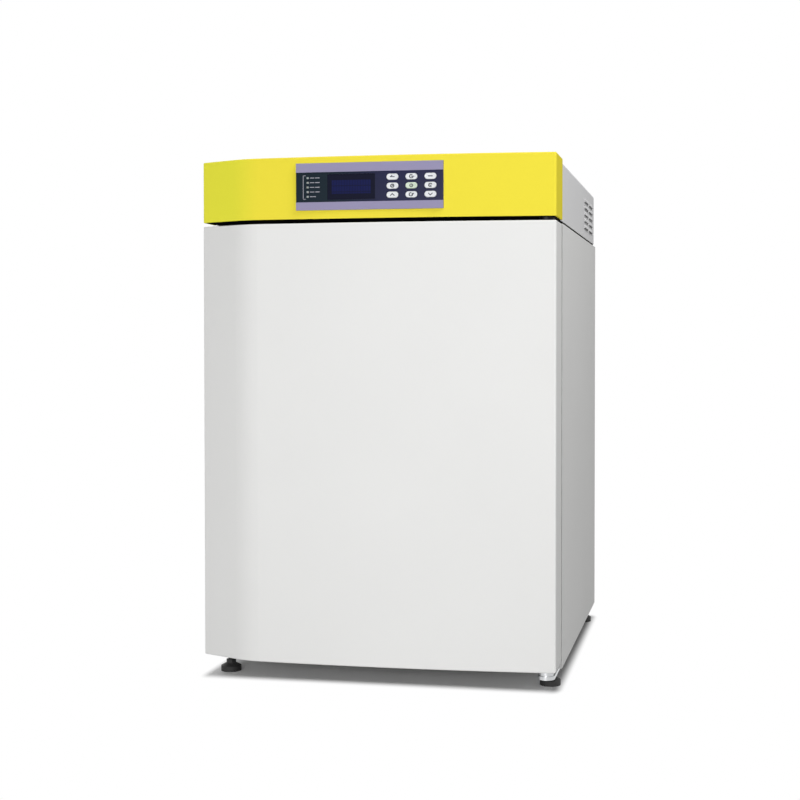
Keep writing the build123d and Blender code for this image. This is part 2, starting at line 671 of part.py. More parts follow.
def inner_door_hinges():
    """Two clamps on the pane's edge, each with a knuckle round its pin."""
    hinges = []
    for z in INNER_HINGE_HEIGHTS:
        low, high = z - KNUCKLE_LENGTH / 2, z + KNUCKLE_LENGTH / 2
        knuckle = rod_z(PIN_X, PIN_Y, low, high, KNUCKLE_RADIUS)
        arm = block(PIN_X - CLAMP_REACH, PIN_X, PIN_Y, GLASS_FRONT, low, high)
        plate = block(PIN_X - CLAMP_REACH, PIN_X - CLAMP_RELIEF, PIN_Y + INNER_PIN_RADIUS, GLASS_FRONT,
                      z - CLAMP_HEIGHT / 2, z + CLAMP_HEIGHT / 2)
        bore = rod_z(PIN_X, PIN_Y, low - 1, high + 1, INNER_PIN_RADIUS + RUNNING)
        hinges.append(knuckle + arm + plate - bore)
    return Compound(hinges)


def inner_hinge_posts():
    """Two posts on the frame's rebate, each holding a pin between two ears."""
    posts = []
    wall = CH_HALF + REBATE
    for z in INNER_HINGE_HEIGHTS:
        low, high = z - KNUCKLE_LENGTH / 2 - SIT, z + KNUCKLE_LENGTH / 2 + SIT
        y0, y1 = PIN_Y - KNUCKLE_RADIUS, PIN_Y + KNUCKLE_RADIUS
        ears = block(PIN_X, wall, y0, y1, low - EAR, low) + block(PIN_X, wall, y0, y1, high, high + EAR)
        ears += rod_z(PIN_X, PIN_Y, low - EAR, low, KNUCKLE_RADIUS)
        ears += rod_z(PIN_X, PIN_Y, high, high + EAR, KNUCKLE_RADIUS)
        spine = block(wall - CATCH_SHEET / 2, wall, y0, y1, low, high)
        pin = rod_z(PIN_X, PIN_Y, low, high, INNER_PIN_RADIUS)
        posts.append(ears + spine + pin)
    return Compound(posts)


def inner_door_knob():
    """Latch knob: grooved head, tongue in front of the pane, stem and rear flange."""
    head = rod_y(KNOB_X, CH_MID, FRONT - KNOB_PROUD, FRONT + TONGUE_START, KNOB_RADIUS)
    head = chamfer(head.edges().sort_by(Axis.Y)[0], SKIN)
    for index in range(KNOB_GROOVES):
        x, z = polar(KNOB_RADIUS + SKIN, 360 / KNOB_GROOVES * index)
        head -= rod_y(KNOB_X + x, CH_MID + z, FRONT - KNOB_PROUD - 1, FRONT, 2 * SKIN)
    y0 = FRONT + TONGUE_START
    y1 = y0 + TONGUE_SHEET
    half = TONGUE_WIDTH / 2
    tongue = block(KNOB_X - half, KNOB_X + half, y0, y1, CH_MID - half, CH_MID + TONGUE_REACH)
    stem = rod_y(KNOB_X, CH_MID, y0, GLASS_BACK + KNOB_FLANGE_SHEET, KNOB_STEM)
    shoulder = rod_y(KNOB_X, CH_MID, y1, GLASS_FRONT - RUNNING, KNOB_FLANGE)
    flange_y = GLASS_BACK + RUNNING
    flange = rod_y(KNOB_X, CH_MID, flange_y, flange_y + KNOB_FLANGE_SHEET, KNOB_FLANGE)
    return head + tongue + shoulder + stem + flange


def grip_pocket(grow, y0):
    """Space of the finger grip in the door's left rear edge, grown by a wall."""
    x1 = -HALF + GRIP_DEPTH + grow
    return block(-HALF - 1, x1, y0 - grow, DOOR_BACK + 1, GRIP_Z0 - grow, GRIP_Z1 + grow)


def door_bush_cut(grow):
    """Round holes for the two hinge bushes, through the door's ends."""
    radius = BUSH_RADIUS + grow
    low = rod_z(HINGE_X, HINGE_Y, DOOR_Z0 - 1, DOOR_Z0 + BUSH_DEPTH + grow, radius)
    high = rod_z(HINGE_X, HINGE_Y, DOOR_Z1 - BUSH_DEPTH - grow, DOOR_Z1 + 1, radius)
    return low + high


def door_skin():
    """Folded front skin of the door, open at the back, with the grip pressed in."""
    outer = front_solid(DOOR_BACK, DOOR_Z0, DOOR_Z1)
    outer = round_lips(outer, DOOR_BACK, DOOR_Z1)
    outer = round_lips(outer, DOOR_BACK, DOOR_Z0)
    hollow = front_solid(DOOR_BACK + FLANGE, DOOR_Z0 + SKIN, DOOR_Z1 - SKIN, SKIN)
    skin = outer - hollow
    skin += grip_pocket(SKIN, GRIP_Y) & outer
    return skin - grip_pocket(0, GRIP_Y) - door_bush_cut(0)


def door_inner_panel():
    """Flat inner sheet that closes the door's back."""
    half = HALF - SKIN
    sheet = block(-half, half, DOOR_BACK - PANEL_SHEET, DOOR_BACK, DOOR_Z0 + SKIN, DOOR_Z1 - SKIN)
    return sheet - grip_pocket(SKIN, GRIP_Y)


def door_insulation():
    """Foam that fills the door between skin and inner sheet."""
    back = DOOR_BACK - PANEL_SHEET
    foam = front_solid(DOOR_BACK + FLANGE, DOOR_Z0 + SKIN, DOOR_Z1 - SKIN, SKIN)
    foam = foam & block(-HALF, HALF, APEX - 1, back, DOOR_Z0, DOOR_Z1)
    return foam - grip_pocket(SKIN, GRIP_Y) - door_bush_cut(0)


def door_gasket():
    """Magnetic gasket: base strip on the inner sheet and a narrower bulb."""
    start = REBATE + GASKET_MARGIN
    inset = (GASKET_WIDTH - GASKET_BULB) / 2
    half, z0, z1 = CH_HALF + start, CH_Z0 - start, CH_Z1 + start
    base = ring_y(half, z0, z1, GASKET_CORNER, GASKET_WIDTH, DOOR_BACK, DOOR_BACK + GASKET_BASE)
    bulb = ring_y(half + inset, z0 - inset, z1 + inset, GASKET_CORNER + inset, GASKET_BULB,
                  DOOR_BACK + GASKET_BASE, FRONT - SEAL_CLEAR)
    return base + bulb


def door_bushes():
    """Flanged bushes in the door's top and bottom, for the hinge pins."""
    bushes = []
    for end, inward in ((DOOR_Z0, 1), (DOOR_Z1, -1)):
        body = rod_z(HINGE_X, HINGE_Y, *sorted((end, end + inward * BUSH_DEPTH)), BUSH_RADIUS)
        rim = rod_z(HINGE_X, HINGE_Y, *sorted((end, end - inward * BUSH_FLANGE)), BUSH_FLANGE_RADIUS)
        bore = rod_z(HINGE_X, HINGE_Y, end - BUSH_DEPTH - 1, end + BUSH_DEPTH + 1, PIN_RADIUS + RUNNING)
        bushes.append(body + rim - bore)
    return Compound(bushes)


def bracket_plate(z0, z1, back):
    """Hinge plate with a round nose about the pin."""
    nose = rod_z(HINGE_X, HINGE_Y, z0, z1, BRACKET_NOSE)
    return nose + block(HINGE_X - BRACKET_NOSE, HINGE_X + BRACKET_NOSE, HINGE_Y, back, z0, z1)


def hinge_bracket_bottom():
    """Plate under the base, with boss and pin for the door's lower bush."""
    foot_x, foot_y = FOOT_PLACES[1]
    z0, z1 = BODY_Z0 - BRACKET_SHEET, BODY_Z0
    plate = bracket_plate(z0, z1, foot_y + FOOT_RADIUS)
    boss = rod_z(HINGE_X, HINGE_Y, z1, DOOR_Z0 - BUSH_FLANGE - SIT, BUSH_FLANGE_RADIUS)
    pin = rod_z(HINGE_X, HINGE_Y, z1, DOOR_Z0 + BUSH_DEPTH - SHEET, PIN_RADIUS)
    hole = rod_z(foot_x, foot_y, z0 - 1, z1 + 1, STEM_RADIUS + PORT_CLEARANCE)
    return plate + boss + pin - hole


def hinge_bracket_top():
    """Plate on the deck, with boss and pin for the door's upper bush."""
    z0, z1 = HOOD_Z0, HOOD_Z0 + TOP_BRACKET_SHEET
    plate = bracket_plate(z0, z1, FRONT + TOP_BRACKET_REACH)
    boss = rod_z(HINGE_X, HINGE_Y, DOOR_Z1 + BUSH_FLANGE + SIT, z0, BUSH_FLANGE_RADIUS)
    pin = rod_z(HINGE_X, HINGE_Y, DOOR_Z1 - BUSH_DEPTH + SHEET, z0, PIN_RADIUS)
    return plate + boss + pin


def hood_fascia():
    """Yellow hood shell, open below and behind, with a flat land and window for the panel."""
    back = FRONT - JOIN_GAP
    outer = round_lips(front_solid(back, HOOD_Z0, HEIGHT), back, HEIGHT)
    hollow = front_solid(back + FLANGE, HOOD_Z0 - 1, HEIGHT - SHELL, SHELL)
    half_w, half_h = PANEL_W / 2 + SIT, PANEL_H / 2 + SIT
    land = block(PANEL_X - half_w, PANEL_X + half_w, APEX - 1, LAND, PANEL_Z - half_h, PANEL_Z + half_h)
    half_w, half_h = PANEL_W / 2 - WINDOW_MARGIN, PANEL_H / 2 - WINDOW_MARGIN
    window = block(PANEL_X - half_w, PANEL_X + half_w, APEX - 1, LAND + 2 * SHELL,
                   PANEL_Z - half_h, PANEL_Z + half_h)
    backing = block(PANEL_X - PANEL_W / 2, PANEL_X + PANEL_W / 2, LAND, LAND + SHELL,
                    PANEL_Z - PANEL_H / 2, PANEL_Z + PANEL_H / 2)
    return outer - hollow - land + backing - window


def hood_underside():
    """Black tray that closes the hood from below, cut round the hinge bracket."""
    z0 = HOOD_Z0 + SIT
    tray = front_solid(FRONT - JOIN_GAP, z0, z0 + PAN_SHEET, SHELL)
    clear = PORT_CLEARANCE
    notch = rod_z(HINGE_X, HINGE_Y, z0 - 1, z0 + SHELL, BRACKET_NOSE + clear)
    notch += block(HINGE_X - BRACKET_NOSE - clear, HINGE_X + BRACKET_NOSE + clear, HINGE_Y, FRONT,
                   z0 - 1, z0 + SHELL)
    return tray - notch


def button_places():
    """Centres of the nine buttons, row by row from the top left."""
    places = []
    for row in (1, 0, -1):
        for column in (-1, 0, 1):
            x = PANEL_X + BUTTON_X + column * BUTTON_PITCH_X
            places.append((x, BAND_Z + row * BUTTON_PITCH_Z))
    return places


def led_places():
    """Centres of the status lights, from the top."""
    middle = (LED_COUNT - 1) / 2
    return [(PANEL_X + LED_X, BAND_Z + (middle - index) * LED_PITCH) for index in range(LED_COUNT)]


def panel_holes(y0, y1):
    """Holes for buttons, display and lights through bezel and overlay."""
    grow = 2 * BUTTON_CLEAR
    hole = SlotOverall(BUTTON_W + grow, BUTTON_H + grow)
    holes = [slab_y(hole, x, z, y0, y1) for x, z in button_places()]
    lamp = Rectangle(LED_W + grow, LED_H + grow)
    holes += [slab_y(lamp, x, z, y0, y1) for x, z in led_places()]
    display = Rectangle(DISPLAY_W, DISPLAY_H)
    holes.append(slab_y(display, PANEL_X + DISPLAY_X, BAND_Z, y0, y1))
    return holes


def panel_bezel():
    """Silver bezel plate with a channel for the overlay and four posts for the board."""
    plate = slab_y(Rectangle(PANEL_W, PANEL_H), PANEL_X, PANEL_Z, APEX - BEZEL_PROUD, LAND)
    channel = slab_y(Rectangle(PANEL_W + 2, BAND_H), PANEL_X, BAND_Z, APEX - BEZEL_PROUD - 1,
                     APEX - OVERLAY_PROUD + OVERLAY)
    plate = plate - channel - panel_holes(APEX - PANEL_PROUD, LAND + 1)
    post_x, post_z = PANEL_W / 2 - 2 * WINDOW_MARGIN, PANEL_H / 2 - 1.6 * WINDOW_MARGIN
    for x in (-post_x, post_x):
        for z in (-post_z, post_z):
            plate += rod_y(PANEL_X + x, PANEL_Z + z, LAND, BOARD_Y, WINDOW_MARGIN / 4)
    return plate


def panel_overlay():
    """Dark band across the panel."""
    y0 = APEX - OVERLAY_PROUD
    band = slab_y(Rectangle(PANEL_W, BAND_H), PANEL_X, BAND_Z, y0, y0 + OVERLAY)
    return band - panel_holes(y0 - 1, y0 + OVERLAY + 1)


def display_module():
    """Display: glass in the overlay's window and a wider frame on the board."""
    x = PANEL_X + DISPLAY_X
    glass = slab_y(Rectangle(DISPLAY_W - SIT, DISPLAY_H - SIT), x, BAND_Z,
                   APEX - OVERLAY_PROUD / 2, LAND + SIT)
    rim = Rectangle(DISPLAY_W + 2 * DISPLAY_FRAME, DISPLAY_H + 2 * DISPLAY_FRAME)
    return glass + slab_y(rim, x, BAND_Z, LAND + SIT, BOARD_Y)


def status_lights():
    """Five light pipes from the board to the overlay."""
    pipe = Rectangle(LED_W, LED_H)
    return Compound([slab_y(pipe, x, z, APEX - OVERLAY_PROUD - SIT, BOARD_Y) for x, z in led_places()])


def button(x, z):
    """Push button: stadium cap, lip behind the bezel, plunger to its switch."""
    cap = slab_y(SlotOverall(BUTTON_W, BUTTON_H), x, z, APEX - PANEL_PROUD, LAND + SIT)
    cap = chamfer(cap.faces().sort_by(Axis.Y)[0].edges(), SIT)
    lip = slab_y(SlotOverall(BUTTON_W + 2 * BUTTON_LIP, BUTTON_H + 2 * BUTTON_LIP), x, z,
                 LAND + SIT, LAND + SIT + SKIN / 2)
    plunger = rod_y(x, z, LAND + SIT, BOARD_Y - SKIN - BUTTON_TRAVEL - SIT, BUTTON_H / 4)
    return cap + lip + plunger


def control_board():
    """Circuit board behind the panel, with a small switch behind each button."""
    w, h = PANEL_W - 3 * WINDOW_MARGIN, PANEL_H - 2.4 * WINDOW_MARGIN
    board = slab_y(Rectangle(w, h), PANEL_X, PANEL_Z, BOARD_Y, BOARD_Y + BOARD)
    for x, z in button_places():
        board += slab_y(Rectangle(SWITCH_SIZE, SWITCH_SIZE), x, z, BOARD_Y - SKIN, BOARD_Y)
    return board


def louvre(side, y, z):
    """One pressed louvre on the cover's side: a curved hood and the hollow under it."""
    wall = side * COVER_HALF
    back = side * (COVER_HALF - SHEET)
    shapes = []
    for inset in (0.0, SHEET):
        low, top = z - inset, z + LOUVRE_HEIGHT - inset
        proud = LOUVRE_PROUD - inset
        brow = (wall + side * proud * 0.85, low + (top - low) * 0.5)
        section = make_face(Polyline((back, low), (wall + side * proud, low), brow, (wall, top), (back, top),
                                     (back, low)))
        plane = Plane(origin=(0, y + LOUVRE_LENGTH / 2 - inset, 0), x_dir=(1, 0, 0), z_dir=(0, -1, 0))
        shapes.append(extrude(plane * section, amount=LOUVRE_LENGTH - 2 * inset))
    return shapes


def top_cover():
    """Sheet-metal cover over the equipment: top, sides and louvres, open in front."""
    y0, y1 = FRONT + JOIN_GAP, REAR
    outer = block(-COVER_HALF, COVER_HALF, y0, y1, HOOD_Z0, HEIGHT - SHEET)
    bends = outer.edges().filter_by(Axis.Y).sort_by(Axis.Z)[-2:]
    outer = fillet(bends, COVER_BEND)
    inner = block(-COVER_HALF + SHEET, COVER_HALF - SHEET, y0 - 1, y1 + 1, HOOD_Z0 - 1, HEIGHT - 2 * SHEET)
    bends = inner.edges().filter_by(Axis.Y).sort_by(Axis.Z)[-2:]
    cover = outer - fillet(bends, COVER_BEND - SHEET)
    middle_z = (HOOD_Z0 + HEIGHT) / 2
    for side in (-1, 1):
        for column in range(LOUVRE_COLUMNS):
            y = y1 - FOOT_REAR - LOUVRE_LENGTH * (0.5 + 1.3 * column)
            for row in range(LOUVRE_ROWS):
                z = middle_z + (row - LOUVRE_ROWS / 2) * LOUVRE_PITCH
                hood, hollow = louvre(side, y, z)
                cover = cover + hood - hollow
    return cover


def connector_panel():
    """Rear plate of the equipment space, with vents and the fittings' holes."""
    half = COVER_HALF - SHEET - SIT
    plate = block(-half, half, REAR - SHEET, REAR, HOOD_Z0 - REVEAL / 2, HEIGHT - 2 * SHEET - SIT)
    plate = fillet(plate.edges().filter_by(Axis.Y).sort_by(Axis.Z)[-2:], COVER_BEND)
    plate -= block(INLET_X - INLET_W / 2 + SHELL, INLET_X + INLET_W / 2 - SHELL, REAR - 2, REAR + 1,
                   INLET_Z - INLET_H / 2 + SHELL, INLET_Z + INLET_H / 2 - SHELL)
    plate -= rod_y(ROOF_X, FITTING_Z, REAR - 2, REAR + 1, FITTING_BODY + BUTTON_CLEAR)
    slots = []
    for index in range(VENT_COUNT):
        x = (index - (VENT_COUNT - 1) / 2) * VENT_PITCH
        slots.append(block(x - VENT_SLOT / 2, x + VENT_SLOT / 2, REAR - 2, REAR + 1,
                           HOOD_Z0 + VENT_MARGIN, HEIGHT - VENT_MARGIN))
    return plate - slots


def power_supply():
    """Switch-mode supply on the deck, with a finned top."""
    x0 = INLET_X - SUPPLY_WIDTH / 3
    y1 = SUPPLY_Y + SUPPLY_LENGTH
    top = HOOD_Z0 + SUPPLY_HEIGHT
    body = block(x0, x0 + SUPPLY_WIDTH, SUPPLY_Y, y1, HOOD_Z0, top)
    start = x0 + (SUPPLY_WIDTH - (FIN_COUNT - 1) * FIN_PITCH - FIN) / 2
    for index in range(FIN_COUNT):
        x = start + index * FIN_PITCH
        body += block(x, x + FIN, SUPPLY_Y, y1, top, top + FIN_HEIGHT)
    return body


def gas_valve():
    """Solenoid valve block with coil, and the line down through the roof."""
    y1 = REAR - FITTING_LENGTH
    y0 = y1 - VALVE_LENGTH
    z = FITTING_Z
    half = VALVE_HALF
    body = block(ROOF_X - half, ROOF_X + half, y0, y1, z - half, z + half)
    body += block(ROOF_X - VALVE_FOOT_HALF, ROOF_X + VALVE_FOOT_HALF, y0 + SHELL, y1 - SHELL,
                  HOOD_Z0, z - half)
    body += rod_z(ROOF_X, (y0 + y1) / 2, z + half, z + half + COIL_HEIGHT, COIL_RADIUS)
    path = FilletPolyline((ROOF_X, y0, z), (ROOF_X, GAS_LINE_Y, z),
                          (ROOF_X, GAS_LINE_Y, CH_Z1 - GAS_LINE_DROP), radius=GAS_LINE_BEND)
    line = sweep(Plane(origin=path @ 0, z_dir=path % 0) * Circle(GAS_LINE_RADIUS), path=path)
    return body + line


def gas_inlet():
    """Push-in tube fitting on the rear: nut, collar and the bore for the gas tube."""
    end = REAR + REAR_REACH
    nut = RegularPolygon(FITTING_NUT, 6)
    fitting = slab_y(nut, ROOF_X, FITTING_Z, REAR, REAR + FITTING_NUT_LENGTH)
    fitting += rod_y(ROOF_X, FITTING_Z, REAR - FITTING_LENGTH, REAR, FITTING_BODY)
    fitting += rod_y(ROOF_X, FITTING_Z, REAR, end, FITTING_COLLAR)
    return fitting - rod_y(ROOF_X, FITTING_Z, end - FITTING_BORE_DEPTH, end + 1, FITTING_BORE)


def power_inlet():
    """Inlet module: three-pin socket beside the housing of the rocker switch."""
    front = REAR + PAN_SHEET
    flange = slab_y(RectangleRounded(INLET_W, INLET_H, SHELL), INLET_X, INLET_Z, REAR, front)
    half_w, half_h = INLET_W / 2 - SHELL - SIT, INLET_H / 2 - SHELL - SIT
    inner = block(INLET_X - half_w, INLET_X + half_w, REAR - INLET_DEPTH, REAR,
                  INLET_Z - half_h, INLET_Z + half_h)
    body = flange + inner
    x = INLET_X - SOCKET_OFFSET
    body -= slab_y(RectangleRounded(SOCKET_W, SOCKET_H, SHELL), x, INLET_Z, front - SOCKET_DEPTH, front + 1)
    pin = Rectangle(BLADE_PIN, BLADE_PIN_HEIGHT)
    for column in (-1, 0, 1):
        rise = BLADE_PIN_RISE if column == 0 else -BLADE_PIN_RISE
        body += slab_y(pin, x + column * BLADE_PIN_SPREAD, INLET_Z + rise, front - SOCKET_DEPTH,
                       front - BLADE_PIN_RECESS)
    clear = ROCKER_CLEAR
    half = ROCKER_WIDTH / 2 + clear
    cavity = rod_x(ROCKER_Y, INLET_Z, ROCKER_X - half, ROCKER_X + half, ROCKER_RADIUS + clear)
    pivots = rod_x(ROCKER_Y, INLET_Z, ROCKER_X - half - SKIN, ROCKER_X + half + SKIN, SKIN + RUNNING)
    return body - cavity - pivots


def power_switch():
    """Rocker with a shallow V front and stub pivots, resting in its off position."""
    half = ROCKER_WIDTH / 2
    radius = ROCKER_RADIUS
    middle = REAR + PAN_SHEET - ROCKER_Y
    tip = middle + radius * tan(radians(ROCKER_TILT))
    beyond = middle + radius
    front = make_face(Polyline((middle, 0), (tip, radius), (beyond, radius), (beyond, -radius),
                               (tip, -radius), (middle, 0)))
    drum = rod_x(0, 0, -half, half, radius)
    drum -= extrude(Plane.YZ.offset(-half - 1) * front, amount=ROCKER_WIDTH + 2)
    drum += rod_x(0, 0, -half - SKIN, half + SKIN, SKIN)
    return Pos(ROCKER_X, ROCKER_Y, INLET_Z) * Rot(ROCKER_TILT, 0, 0) * drum


def access_port():
    """Tube through the rear wall, with a rim outside."""
    y0 = CH_BACK + SKIN
    tube = rod_y(PORT_X, PORT_Z, y0, REAR, PORT_BORE + PORT_WALL)
    rim = rod_y(PORT_X, PORT_Z, REAR - SHEET, REAR + PAN_SHEET, PORT_RIM)
    return tube + rim - rod_y(PORT_X, PORT_Z, y0 - 1, REAR + SHELL, PORT_BORE)


def port_plug():
    """Silicone plug with a wider head."""
    face = REAR + PAN_SHEET + SIT
    plug = rod_y(PORT_X, PORT_Z, face - PLUG_LENGTH, face, PORT_BORE - RUNNING)
    plug += rod_y(PORT_X, PORT_Z, face, face + PLUG_HEAD_LENGTH, PLUG_HEAD)
    rim = plug.edges().filter_by(GeomType.CIRCLE).sort_by(Axis.Y)[-1]
    return chamfer(rim, SHELL)


def levelling_foot(x, y):
    """Round pad with a coned top and its threaded stem."""
    pad = rod_z(x, y, 0, FOOT_PAD, FOOT_RADIUS)
    cone = Pos(x, y, FOOT_PAD + FOOT_CONE / 2) * Cone(FOOT_RADIUS, BOSS_RADIUS, FOOT_CONE)
    nut = Pos(x, y, FOOT_PAD + FOOT_CONE) * extrude(RegularPolygon(BOSS_RADIUS, 6), amount=FOOT_NUT)
    return pad + cone + nut + rod_z(x, y, FOOT_PAD, STEM_TOP, STEM_RADIUS)


pieces = {
    "base_pan": base_pan(),
    "side_panel_left": side_panel(-1),
    "side_panel_right": side_panel(1),
    "rear_panel": rear_panel(),
    "front_frame": front_frame(),
    "equipment_deck": equipment_deck(),
    "chamber_liner": chamber_liner(),
    "heater_mats": heater_mats(),
    "insulation_jacket": insulation_jacket(),
    "shelf_rack_left": shelf_rack(-1),
    "shelf_rack_right": shelf_rack(1),
    "humidity_pan": humidity_pan(),
    "fan_wheel": fan_wheel(),
    "fan_shroud": fan_shroud(),
    "fan_motor": fan_motor(),
    "sensor_block": sensor_block(),
    "inner_door_gasket": inner_door_gasket(),
    "inner_door_glass": inner_door_glass(),
    "inner_door_hinges": inner_door_hinges(),
    "inner_hinge_posts": inner_hinge_posts(),
    "inner_door_knob": inner_door_knob(),
    "door_skin": door_skin(),
    "door_inner_panel": door_inner_panel(),
    "door_insulation": door_insulation(),
    "door_gasket": door_gasket(),
    "door_bushes": door_bushes(),
    "hinge_bracket_bottom": hinge_bracket_bottom(),
    "hinge_bracket_top": hinge_bracket_top(),
    "hood_fascia": hood_fascia(),
    "hood_underside": hood_underside(),
    "panel_bezel": panel_bezel(),
    "panel_overlay": panel_overlay(),
    "display_module": display_module(),
    "status_lights": status_lights(),
    "control_board": control_board(),
    "top_cover": top_cover(),
    "connector_panel": connector_panel(),
    "power_supply": power_supply(),
    "gas_valve": gas_valve(),
    "gas_inlet": gas_inlet(),
    "power_inlet": power_inlet(),
    "power_switch": power_switch(),
    "access_port": access_port(),
    "port_plug": port_plug(),
}
for number in range(SHELF_COUNT):
    pieces[f"shelf_{number + 1}"] = shelf(number)
for number, (x, z) in enumerate(button_places(), start=1):
    pieces[f"button_{number}"] = button(x, z)
for corner, (x, y) in zip(("front_left", "front_right", "rear_left", "rear_right"), FOOT_PLACES):
    pieces[f"foot_{corner}"] = levelling_foot(x, y)

for name, piece in pieces.items():
    export_step(piece, f"parts/{name}.step")
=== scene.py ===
"""Front-door carbon dioxide incubator: finishes, small fittings, studio and camera.

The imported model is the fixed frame. Everything here is in metres, with +X to the right as
seen from the front, +Y to the rear and +Z up.
"""

from __future__ import annotations

import logging
import math
from dataclasses import dataclass, field
from enum import Enum
from typing import Iterable, Union

import bmesh
import bpy
from mathutils import Matrix, Vector

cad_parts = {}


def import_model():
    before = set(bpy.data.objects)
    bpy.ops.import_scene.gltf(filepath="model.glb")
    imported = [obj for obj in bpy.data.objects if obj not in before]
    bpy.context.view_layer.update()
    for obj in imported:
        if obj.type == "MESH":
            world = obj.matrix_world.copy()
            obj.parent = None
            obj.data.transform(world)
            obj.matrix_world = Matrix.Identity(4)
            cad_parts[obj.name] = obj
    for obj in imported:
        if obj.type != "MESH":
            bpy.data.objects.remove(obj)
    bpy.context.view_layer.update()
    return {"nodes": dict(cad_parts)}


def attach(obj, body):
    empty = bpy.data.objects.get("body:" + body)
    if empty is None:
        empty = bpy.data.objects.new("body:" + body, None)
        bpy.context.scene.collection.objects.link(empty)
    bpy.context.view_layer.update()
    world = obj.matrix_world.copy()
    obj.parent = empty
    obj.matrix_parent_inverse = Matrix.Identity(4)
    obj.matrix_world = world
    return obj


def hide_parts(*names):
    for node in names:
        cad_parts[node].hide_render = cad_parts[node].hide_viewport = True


LOG = logging.getLogger("incubator")
SEEN_RAYS = ("Is Camera Ray", "Is Glossy Ray", "Is Transmission Ray")
BLACK = (0.0, 0.0, 0.0)
WHITE = (1.0, 1.0, 1.0)

RGB = tuple[float, float, float]
Flat = tuple[float, float]
Point = tuple[float, float, float]


class Along(Enum):
    """Row axis that a brushed or pressed pattern runs along."""

    X = 0
    Y = 1
    Z = 2


class Recess(Enum):
    """Drive of a screw head."""

    CROSS = "cross"
    HEX = "hex"


# ---------------------------------------------------------------------------
# Shader sockets as values
# ---------------------------------------------------------------------------


class Wire:
    """Output socket of a node that takes part in arithmetic."""

    def __init__(self, graph: "Graph", socket: bpy.types.NodeSocket) -> None:
        """Keep the graph that owns the socket, and the socket."""
        self.graph = graph
        self.socket = socket

    def _math(self, operation: str, *values: "Value") -> "Wire":
        """Add one Math node.

        Args:
            operation: Blender's name of the operation.
            values: Its inputs in order.

        Returns:
            The node's output.
        """
        return self.graph.node("ShaderNodeMath", {"operation": operation}, dict(enumerate(values)))

    def __add__(self, other: "Value") -> "Wire":
        """Sum."""
        return self._math("ADD", self, other)

    __radd__ = __add__

    def __sub__(self, other: "Value") -> "Wire":
        """Difference."""
        return self._math("SUBTRACT", self, other)

    def __rsub__(self, other: "Value") -> "Wire":
        """Difference, the other way round."""
        return self._math("SUBTRACT", other, self)

    def __mul__(self, other: "Value") -> "Wire":
        """Product."""
        return self._math("MULTIPLY", self, other)

    __rmul__ = __mul__

    def __truediv__(self, other: "Value") -> "Wire":
        """Quotient."""
        return self._math("DIVIDE", self, other)

    def __abs__(self) -> "Wire":
        """Size without sign."""
        return self._math("ABSOLUTE", self)

    def below(self, limit: "Value") -> "Wire":
        """1 where the value is under the limit, otherwise 0."""
        return self._math("LESS_THAN", self, limit)

    def repeat(self, period: float) -> "Wire":
        """Value wrapped into 0 to period."""
        return self._math("WRAP", self, period, 0.0)

    def ramp(self, start: float, end: float) -> "Wire":
        """Clamped smooth step from 0 at start to 1 at end."""
        settings = {"interpolation_type": "SMOOTHSTEP"}
        inputs = {"Value": self, "From Min": start, "From Max": end}
        return self.graph.node("ShaderNodeMapRange", settings, inputs)


Value = Union[Wire, float, RGB, tuple]


class Graph:
    """A node tree whose nodes are all added by a single method."""

    def __init__(self, tree: bpy.types.NodeTree) -> None:
        """Keep the tree that gets the nodes."""
        self.tree = tree

    def node(self, kind: str, settings: dict[str, object] | None = None,
             inputs: dict[str | int, "Value"] | None = None, result: str | int = 0) -> Wire:
        """Add any node.

        Args:
            kind: Node type.
            settings: Properties that are set first.
            inputs: Values or links of its sockets, by name or place.
            result: Output that is handed back, by name or place.

        Returns:
            The chosen output.
        """
        made = self.tree.nodes.new(kind)
        for key, value in (settings or {}).items():
            setattr(made, key, value)
        for key, value in (inputs or {}).items():
            self.connect(made.inputs[key], value)
        return Wire(self, made.outputs[result])

    def connect(self, socket: bpy.types.NodeSocket, value: "Value") -> None:
        """Give a socket a link or a constant.

        Args:
            socket: The input to fill.
            value: A wire, a number or a colour.
        """
        if isinstance(value, Wire):
            self.tree.links.new(value.socket, socket)
        elif isinstance(value, tuple) and socket.type == "RGBA" and len(value) == 3:
            socket.default_value = (*value, 1.0)
        else:
            socket.default_value = value

    def seen(self) -> Wire:
        """1 for rays from the camera, a reflection or through glass."""
        camera, glossy, through = (self.node("ShaderNodeLightPath", result=name)
                                   for name in SEEN_RAYS)
        return self.node("ShaderNodeMath", {"operation": "MINIMUM"},
                         {0: camera + glossy + through, 1: 1.0})


